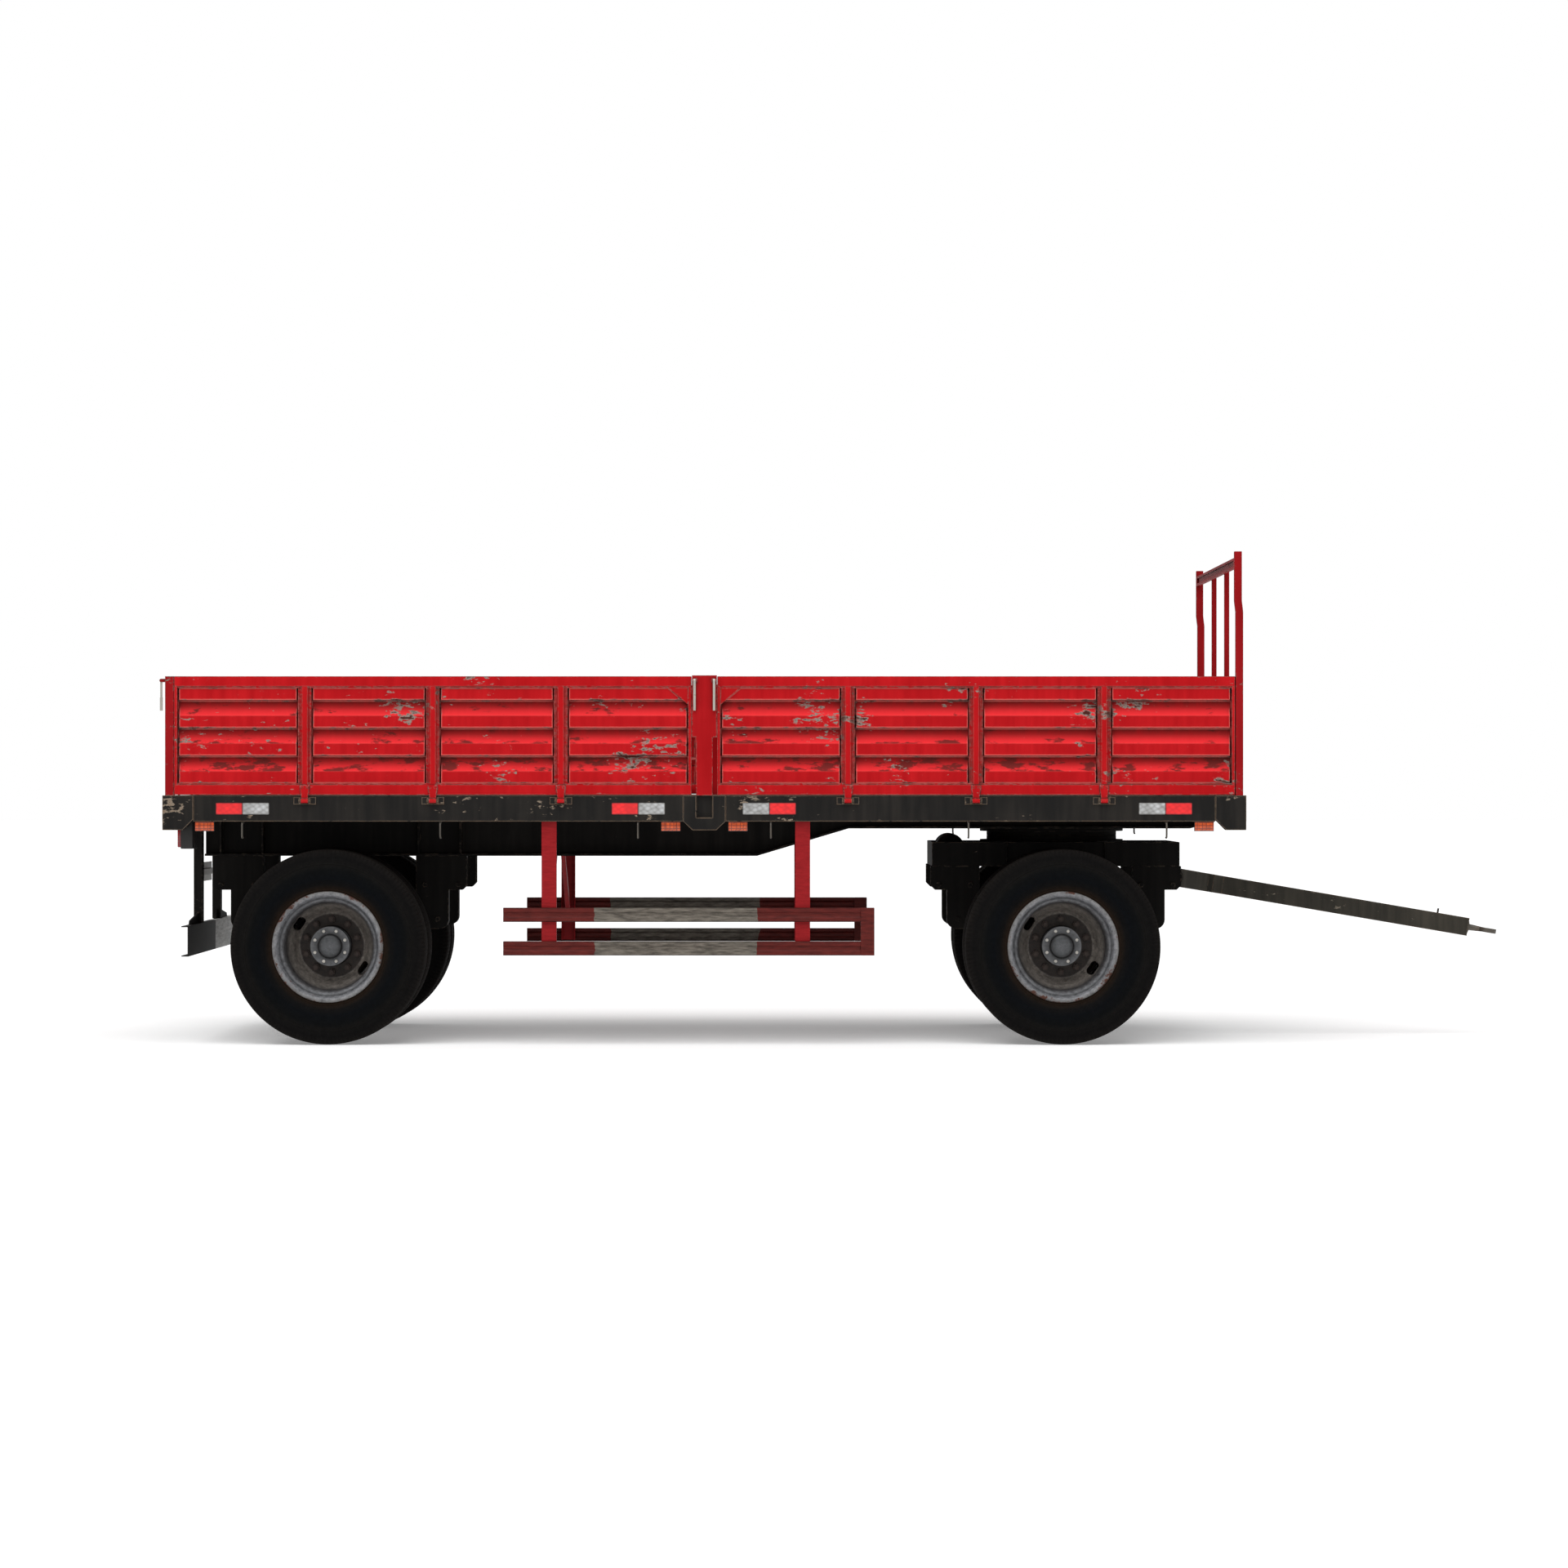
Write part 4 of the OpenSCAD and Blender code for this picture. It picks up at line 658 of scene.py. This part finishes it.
patch_rear, patch_front, beyond = -1.336, -0.463, 9.0
guard_coat = two_tone("patched_guard_paint", ("#481613", "#66221d"), ("#46413b", "#7c756b"),
                      patch_rear, patch_front, 0)
dress("guard_rails", guard_coat, 3.0)
support_coat = two_tone("scuffed_support_paint", ("#481613", "#66221d"), ("#820f14", "#9c191e"),
                        -beyond, -0.15, 0)
dress("guard_supports", support_coat, 2.0)
bumper_coat = two_tone("worn_bumper_paint", ("#121211", "#232120"), ("#b4b4b0", "#f4f4f2"),
                      0.12, beyond, 1)
dress("underride_bar", bumper_coat, 2.0)

# ---- Rope hooks ----------------------------------------------------------------------------------
# Bent 10 mm round bar, welded under the rails. The zinc has gone and ropes polish the bow.


def bare_iron(name, dark, light, rust, rough, metal, spots=0.5):
    """Forged or rolled steel with handling polish and rust bloom in patches about 20 mm across."""
    made, tree = new_material(name)
    where = add(tree, "TexCoord").outputs["Object"]
    cloud = add(tree, "TexNoise", {"Scale": 11.0, "Detail": 8.0, "Roughness": 0.6}, {"Vector": where})
    fine = add(tree, "TexNoise", {"Scale": 60.0, "Detail": 6.0, "Roughness": 0.7}, {"Vector": where})
    base = add(tree, "Mix", {"data_type": "RGBA", 6: linear(dark), 7: linear(light)}, {0: cloud.outputs["Fac"]})
    both = add(tree, "Math", {"operation": "MULTIPLY"}, {0: cloud.outputs["Fac"], 1: fine.outputs["Fac"]})
    bloom = add(tree, "MapRange", {"From Min": 0.34 - 0.12 * spots, "From Max": 0.44 - 0.10 * spots},
                {"Value": both.outputs[0]})
    shade_and_stain_colour = add(tree, "Mix", {"data_type": "RGBA", 7: linear(rust)}, {0: bloom.outputs[0], 6: base.outputs[2]})
    matt = add(tree, "MapRange", {"To Min": rough, "To Max": 0.9}, {"Value": bloom.outputs[0]})
    shine = add(tree, "MapRange", {"To Min": metal, "To Max": 0.0}, {"Value": bloom.outputs[0]})
    bump = add(tree, "Bump", {"Strength": 0.35, "Distance": 0.0008}, {"Height": fine.outputs["Fac"]})
    surface = add(tree, "BsdfPrincipled", feeds={
        "Base Color": shade_and_stain_colour.outputs[2], "Roughness": matt.outputs[0], "Metallic": shine.outputs[0],
        "Normal": bump.outputs[0]})
    return finished(made, surface)


hook_steel = bare_iron("polished_hook_bar", "#35312d", "#6b655c", "#4d3a2c", 0.5, 0.4, 0.3)
dress("rope_hooks", hook_steel, 0)

# ---- Springs and axles ---------------------------------------------------------------------------
# Each spring is a pack of eight flat leaves, every one shorter than the one above it, held by U-bolts
# over the axle. The axles are square forged beams under old black paint and road dirt.
spring_steel = bare_iron("scaled_spring_steel", "#2e2b28", "#4a4641", "#4e3526", 0.6, 0.2, 0.5)
axle_paint = worn_paint("dusty_axle_paint", "#191715", "#2b2723", "#5c5449", "#4a3526", rough=0.6, edge=0.4,
                        chips=0.8, dirt_and_shade=0.6, grime_and_shade="#2b241d")
leaf_count = 8
leaf_thick = 0.012
leaf_radius = 2.300
leaf_step = 0.058
for name, body in (("rear_springs", "chassis"), ("bogie_springs", "bogie")):
    for k, (low, high) in enumerate(loose_parts(name)):
        centre_x, half = (low[0] + high[0]) / 2, (high[0] - low[0]) / 2
        bm = bmesh.new()
        for leaf in range(leaf_count):
            reach = half - 0.001 - leaf * leaf_step
            upper = leaf_radius + leaf * leaf_thick + 0.0004
            under = upper + leaf_thick - 0.0012
            top_z = low[2] + leaf_count * leaf_thick + leaf_radius
            sweep = math.asin(reach / under)
            angles = [sweep * (j / 14 - 1) for j in range(29)]
            outline = [(centre_x + upper * math.sin(a), top_z - upper * math.cos(a)) for a in angles]
            outline += [(centre_x + under * math.sin(a), top_z - under * math.cos(a)) for a in reversed(angles)]
            inset = 0.0 if leaf == 0 else 0.001
            prism(bm, outline, low[1] + inset, high[1] - inset)
            # the third and fifth leaves have a clip near each end
            if leaf in (2, 4):
                for s in (-1, 1):
                    a = s * (sweep - 0.035)
                    px, pz = centre_x + under * math.sin(a), top_z - under * math.cos(a)
                    rounded_bar(bm, (px - 0.014, low[1] + 0.0002, pz - 0.003),
                                (px + 0.014, high[1] - 0.0002, pz + 0.030), 0.002)
        pack = finish_piece("%s_pack_%d" % (name, k + 1), bm, spring_steel, body, smooth=20)
    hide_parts(name)
for name in ("rear_u_bolts", "bogie_u_bolts"):
    dress(name, spring_steel, 0)
for name in ("rear_axle", "front_axle"):
    dress(name, axle_paint)

# ---- Towing bar and latches ----------------------------------------------------------------------
# The towing bar is square tube with a forged eye. Its paint is grey-brown with dust and worn at every
# corner. The latch levers are flat galvanised bar.
bar_paint = worn_paint("dusty_bar_paint", "#2a2823", "#3d3932", "#6e675c", "#57402f", rough=0.6, edge=0.6,
                       chips=0.45, dirt_and_shade=0.4, grime_and_shade="#241f19")
dress("drawbar_pole", bar_paint)
eye_iron = bare_iron("forged_eye_iron", "#3a3632", "#6f6960", "#553b29", 0.45, 0.6, 0.5)
dress("towing_eye", eye_iron, 1.5)
zinc = bare_iron("dull_zinc", "#a8a49b", "#c4c0b7", "#6d6458", 0.42, 0.6, 0.0)
for name in node:
    if name.startswith("lever"):
        dress(name, zinc, 1.0)
tank_paint = worn_paint("tank_black_paint", "#1b1c1d", "#2c2c2b", "#77716a", "#4a382b", rough=0.4, edge=0.4,
                        chips=0.4, dirt_and_shade=0.4)
dress("air_reservoir", tank_paint)

# ---- Wheels --------------------------------------------------------------------------------------
# Pressed steel disc wheels in worn grey enamel carry two tyres on each hub. The hub is cast iron with a
# bolted cap, and ten cone nuts hold the discs.
axle_height = 0.525
front_x = (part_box("hub_front_right")[0][0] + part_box("hub_front_right")[1][0]) / 2
rear_x = (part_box("hub_rear_right")[0][0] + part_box("hub_rear_right")[1][0]) / 2
cap_dome, cap_dome_radius = 0.020, 0.066
cap_face = max(abs(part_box("hub_front_right")[0][1]), abs(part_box("hub_front_right")[1][1])) - cap_dome


def from_hub(tree):
    """The distance of a surface point from its own wheel's axis, in metres, and the point itself."""
    where = add(tree, "TexCoord").outputs["Object"]
    split = add(tree, "SeparateXYZ", feeds={0: where})
    front = add(tree, "Math", {"operation": "GREATER_THAN", 1: (front_x + rear_x) / 2}, {0: split.outputs[0]})
    centre = add(tree, "Math", {"operation": "MULTIPLY_ADD", 1: front_x - rear_x, 2: rear_x}, {0: front.outputs[0]})
    x = add(tree, "Math", {"operation": "SUBTRACT"}, {0: split.outputs[0], 1: centre.outputs[0]})
    z = add(tree, "Math", {"operation": "SUBTRACT", 1: axle_height}, {0: split.outputs[2]})
    flat = add(tree, "CombineXYZ", feeds={0: x.outputs[0], 1: z.outputs[0]})
    radius = add(tree, "VectorMath", {"operation": "LENGTH"}, {0: flat.outputs[0]})
    return radius.outputs["Value"], where


def ringed(tree, radius, zones, last):
    """Colours in rings round the hub: zones is a list of (start radius in metres, hex colour)."""
    place = add(tree, "MapRange", {"From Max": last}, {"Value": radius})
    ramp = add(tree, "ValToRGB", feeds={"Fac": place.outputs[0]})
    points = ramp.color_ramp.elements
    while len(points) < len(zones):
        points.new(0.5)
    for point, (start, colour) in zip(points, zones):
        point.position = start / last
    for point, (start, colour) in zip(ramp.color_ramp.elements, zones):
        point.color = linear(colour)
    return ramp.outputs["Color"]


def mottled(tree, base, fine, darkest, lightest, spread=0.7):
    """A base colour made darker and lighter by a fine noise."""
    mottle = add(tree, "MapRange", {"From Min": 0.3, "From Max": spread, "To Min": darkest, "To Max": lightest},
                 {"Value": fine.outputs["Fac"]})
    return add(tree, "VectorMath", {"operation": "SCALE"}, {0: base, "Scale": mottle.outputs[0]})


def rim_enamel():
    """Grey enamel that is bright on the flange, brown with brake dust on the disc, and spotted with rust."""
    made, tree = new_material("worn_rim_enamel")
    radius, where = from_hub(tree)
    fine = add(tree, "TexNoise", {"Scale": 42.0, "Detail": 8.0, "Roughness": 0.7}, {"Vector": where})
    wobble = add(tree, "Math", {"operation": "MULTIPLY_ADD", 1: 0.006}, {0: fine.outputs["Fac"], 2: radius})
    zones = [(0.0, "#332923"), (0.172, "#332923"), (0.180, "#7d766f"), (0.222, "#79736d"), (0.240, "#3f3d3d"),
             (0.256, "#77787b"), (0.266, "#454648"), (0.276, "#85868a"), (0.302, "#7a7978")]
    base = ringed(tree, wobble.outputs[0], zones, 0.32)
    patch = add(tree, "TexNoise", {"Scale": 5.5, "Detail": 4.0}, {"Vector": where})
    lip = add(tree, "MapRange", {"From Min": 0.262, "From Max": 0.300, "To Max": 0.17}, {"Value": radius})
    some = add(tree, "Math", {"operation": "MULTIPLY_ADD", 1: 0.65}, {0: patch.outputs["Fac"], 2: lip.outputs[0]})
    level = add(tree, "Math", {"operation": "MULTIPLY_ADD", 1: 0.55}, {0: fine.outputs["Fac"], 2: some.outputs[0]})
    spots = add(tree, "MapRange", {"From Min": 0.775, "From Max": 0.84}, {"Value": level.outputs[0]})
    rusted = add(tree, "Mix", {"data_type": "RGBA", 7: linear("#4b3027")}, {0: spots.outputs[0], 6: base})
    toned = mottled(tree, rusted.outputs[2], fine, 0.35, 1.2)
    matt = add(tree, "MapRange", {"To Min": 0.42, "To Max": 0.9}, {"Value": spots.outputs[0]})
    bump = add(tree, "Bump", {"Strength": 0.4, "Distance": 0.0008}, {"Height": fine.outputs["Fac"]})
    surface = add(tree, "BsdfPrincipled", {"Specular IOR Level": 0.25},
                  {"Base Color": toned.outputs[0], "Roughness": matt.outputs[0], "Normal": bump.outputs[0]})
    return finished(made, surface)


def hub_iron():
    """Cast iron: the cap is rubbed to a dull grey, and the flange and nuts are brown with rust and grease."""
    made, tree = new_material("greasy_hub_iron")
    radius, where = from_hub(tree)
    fine = add(tree, "TexNoise", {"Scale": 48.0, "Detail": 7.0, "Roughness": 0.7}, {"Vector": where})
    zones = [(0.0, "#5c5d60"), (0.040, "#4c4e50"), (0.066, "#242323"), (0.074, "#4a4b4d"), (0.104, "#5f6062"),
             (0.1075, "#151211"), (0.118, "#362a24"), (0.170, "#40322b"), (0.215, "#221e1b")]
    base = ringed(tree, radius, zones, 0.24)
    # the cap's eight bolt heads stand out of it, and are plated and brighter
    across = add(tree, "SeparateXYZ", feeds={0: where}).outputs[1]
    out_from_middle = add(tree, "Math", {"operation": "ABSOLUTE"}, {0: across})
    proud = add(tree, "Math", {"operation": "GREATER_THAN", 1: cap_face + 0.001}, {0: out_from_middle.outputs[0]})
    off_dome = add(tree, "Math", {"operation": "GREATER_THAN", 1: cap_dome_radius + 0.008}, {0: radius})
    bolt = add(tree, "Math", {"operation": "MULTIPLY"}, {0: proud.outputs[0], 1: off_dome.outputs[0]})
    plated = add(tree, "Mix", {"data_type": "RGBA", 7: linear("#b9b5ad")}, {0: bolt.outputs[0], 6: base})
    toned = mottled(tree, plated.outputs[2], fine, 0.55, 1.15)
    bump = add(tree, "Bump", {"Strength": 0.4, "Distance": 0.001}, {"Height": fine.outputs["Fac"]})
    surface = add(tree, "BsdfPrincipled", {"Roughness": 0.5, "Metallic": 0.35},
                  {"Base Color": toned.outputs[0], "Normal": bump.outputs[0]})
    return finished(made, surface)


def tyre_rubber():
    """Old black rubber: brown dust by the bead, a blue-black flex band and a greyed, scuffed shoulder."""
    made, tree = new_material("weathered_tyre_rubber")
    radius, where = from_hub(tree)
    fine = add(tree, "TexNoise", {"Scale": 36.0, "Detail": 8.0, "Roughness": 0.7}, {"Vector": where})
    cloud = add(tree, "TexNoise", {"Scale": 5.0, "Detail": 5.0}, {"Vector": where})
    wobble = add(tree, "Math", {"operation": "MULTIPLY_ADD", 1: 0.016}, {0: cloud.outputs["Fac"], 2: radius})
    zones = [(0.290, "#2b1f18"), (0.318, "#201812"), (0.345, "#0f0e0e"), (0.380, "#080a0d"), (0.425, "#0a0b0c"),
             (0.450, "#121110"), (0.490, "#0e0d0d"), (0.520, "#151312"), (0.534, "#1c1917")]
    base = ringed(tree, wobble.outputs[0], zones, 0.56)
    toned = mottled(tree, base, fine, 0.7, 1.25, 0.75)
    # moulded rings about 9 mm apart, faint on the sidewall
    rings = add(tree, "Math", {"operation": "MULTIPLY", 1: 2 * math.pi / 0.009}, {0: radius})
    wave = add(tree, "Math", {"operation": "SINE"}, {0: rings.outputs[0]})
    relief = add(tree, "Math", {"operation": "MULTIPLY_ADD", 1: 0.12}, {0: wave.outputs[0], 2: fine.outputs["Fac"]})
    bump = add(tree, "Bump", {"Strength": 0.5, "Distance": 0.0012}, {"Height": relief.outputs[0]})
    surface = add(tree, "BsdfPrincipled", {"Roughness": 0.9, "Specular IOR Level": 0.06},
                  {"Base Color": toned.outputs[0], "Normal": bump.outputs[0]})
    return finished(made, surface)


rim_coat, hub_coat, rubber = rim_enamel(), hub_iron(), tyre_rubber()
tyre_radius, tyre_half, bead_radius, rim_half = 0.525, 0.1395, 0.2857, 0.10475
tread_steps = 432
groove_wide, groove_deep, groove_swing = 0.010, 0.012, 0.006


def tyre_mesh():
    """One tyre about Z: a sidewall with moulded rings, notched shoulders and four zigzag tread grooves."""
    bm = bmesh.new()
    h = tyre_radius - bead_radius
    wall = [(bead_radius + 0.0005, rim_half - 0.002), (bead_radius + 0.013, rim_half - 0.001),
            (bead_radius + 0.020, rim_half + 0.000), (bead_radius + 0.0205, rim_half + 0.002),
            (bead_radius + 0.028, rim_half + 0.003), (bead_radius + 0.0285, rim_half + 0.0012),
            (bead_radius + 0.16 * h, rim_half + 0.006), (bead_radius + 0.23 * h, tyre_half - 0.0172),
            (bead_radius + 0.30 * h, tyre_half - 0.0075), (bead_radius + 0.37 * h, tyre_half - 0.0035),
            (bead_radius + 0.45 * h, tyre_half - 0.0012), (bead_radius + 0.52 * h, tyre_half - 0.0002),
            (bead_radius + 0.60 * h, tyre_half - 0.0012), (bead_radius + 0.66 * h, tyre_half - 0.0040),
            (bead_radius + 0.665 * h, tyre_half - 0.0022), (bead_radius + 0.70 * h, tyre_half - 0.0042),
            (bead_radius + 0.705 * h, tyre_half - 0.0062), (bead_radius + 0.76 * h, tyre_half - 0.0086)]
    lining = [(tyre_radius - 0.026, 0.080), (tyre_radius - 0.036, 0.104), (bead_radius + 0.55 * h, 0.124),
              (bead_radius + 0.30 * h, 0.116), (bead_radius + 0.020, 0.084), (bead_radius + 0.0005, 0.076)]
    rings = []
    for i in range(tread_steps):
        a = 2 * math.pi * i / tread_steps
        notch = 1.0 if i % 3 == 0 else 0.0
        zig = groove_swing * (abs((i % 24) / 12 - 1) * 2 - 1)
        right = wall + [(tyre_radius - 0.026 - 0.002 * notch, tyre_half - 0.0150 - 0.003 * notch),
                        (tyre_radius - 0.012 - 0.004 * notch, tyre_half - 0.0200 - 0.004 * notch),
                        (tyre_radius - 0.0052 - 0.006 * notch, tyre_half - 0.0270),
                        (tyre_radius - 0.0024, tyre_half - 0.0370)]
        tread = []
        for centre in (0.078, 0.028, -0.028, -0.078):
            z = centre + zig
            w = groove_wide / 2
            edge = tyre_radius - 0.0002 - 0.16 * max(0.0, abs(centre) - 0.03) ** 2 / 0.06
            floor_r = edge - groove_deep
            tread += [(edge, z + w), (floor_r, z + 0.6 * w), (floor_r, z - 0.6 * w), (edge, z - w)]
        left = [(r, -z) for r, z in reversed(right)]
        inside = [(r, -z) for r, z in reversed(lining)] + lining
        outline = right + tread + left + inside
        rings.append([bm.verts.new((r * math.cos(a), r * math.sin(a), z)) for r, z in outline])
    n = len(rings[0])
    for i in range(tread_steps):
        one, two = rings[i], rings[(i + 1) % tread_steps]
        for k in range(n):
            bm.faces.new((one[k], two[k], two[(k + 1) % n], one[(k + 1) % n]))
    return bm


outer_tyre, inner_tyre = 1.0905, 0.7605
for end, x in (("front", front_x), ("rear", rear_x)):
    for side, s in (("right", -1), ("left", 1)):
        body = "wheels_" + end + "_" + side
        for which, y in (("outer", outer_tyre), ("inner", inner_tyre)):
            place = Matrix.Translation((x, s * y, axle_height)) @ Matrix.Rotation(math.radians(-90), 4, "X")
            tyre = finish_piece("tyre_%s_%s_%s" % (end, side, which), tyre_mesh(), rubber, body, place, smooth=32)
        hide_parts("tyres_" + end + "_" + side)
        dress("rims_" + end + "_" + side, rim_coat, 0)
        dress("hub_" + end + "_" + side, hub_coat, 0)
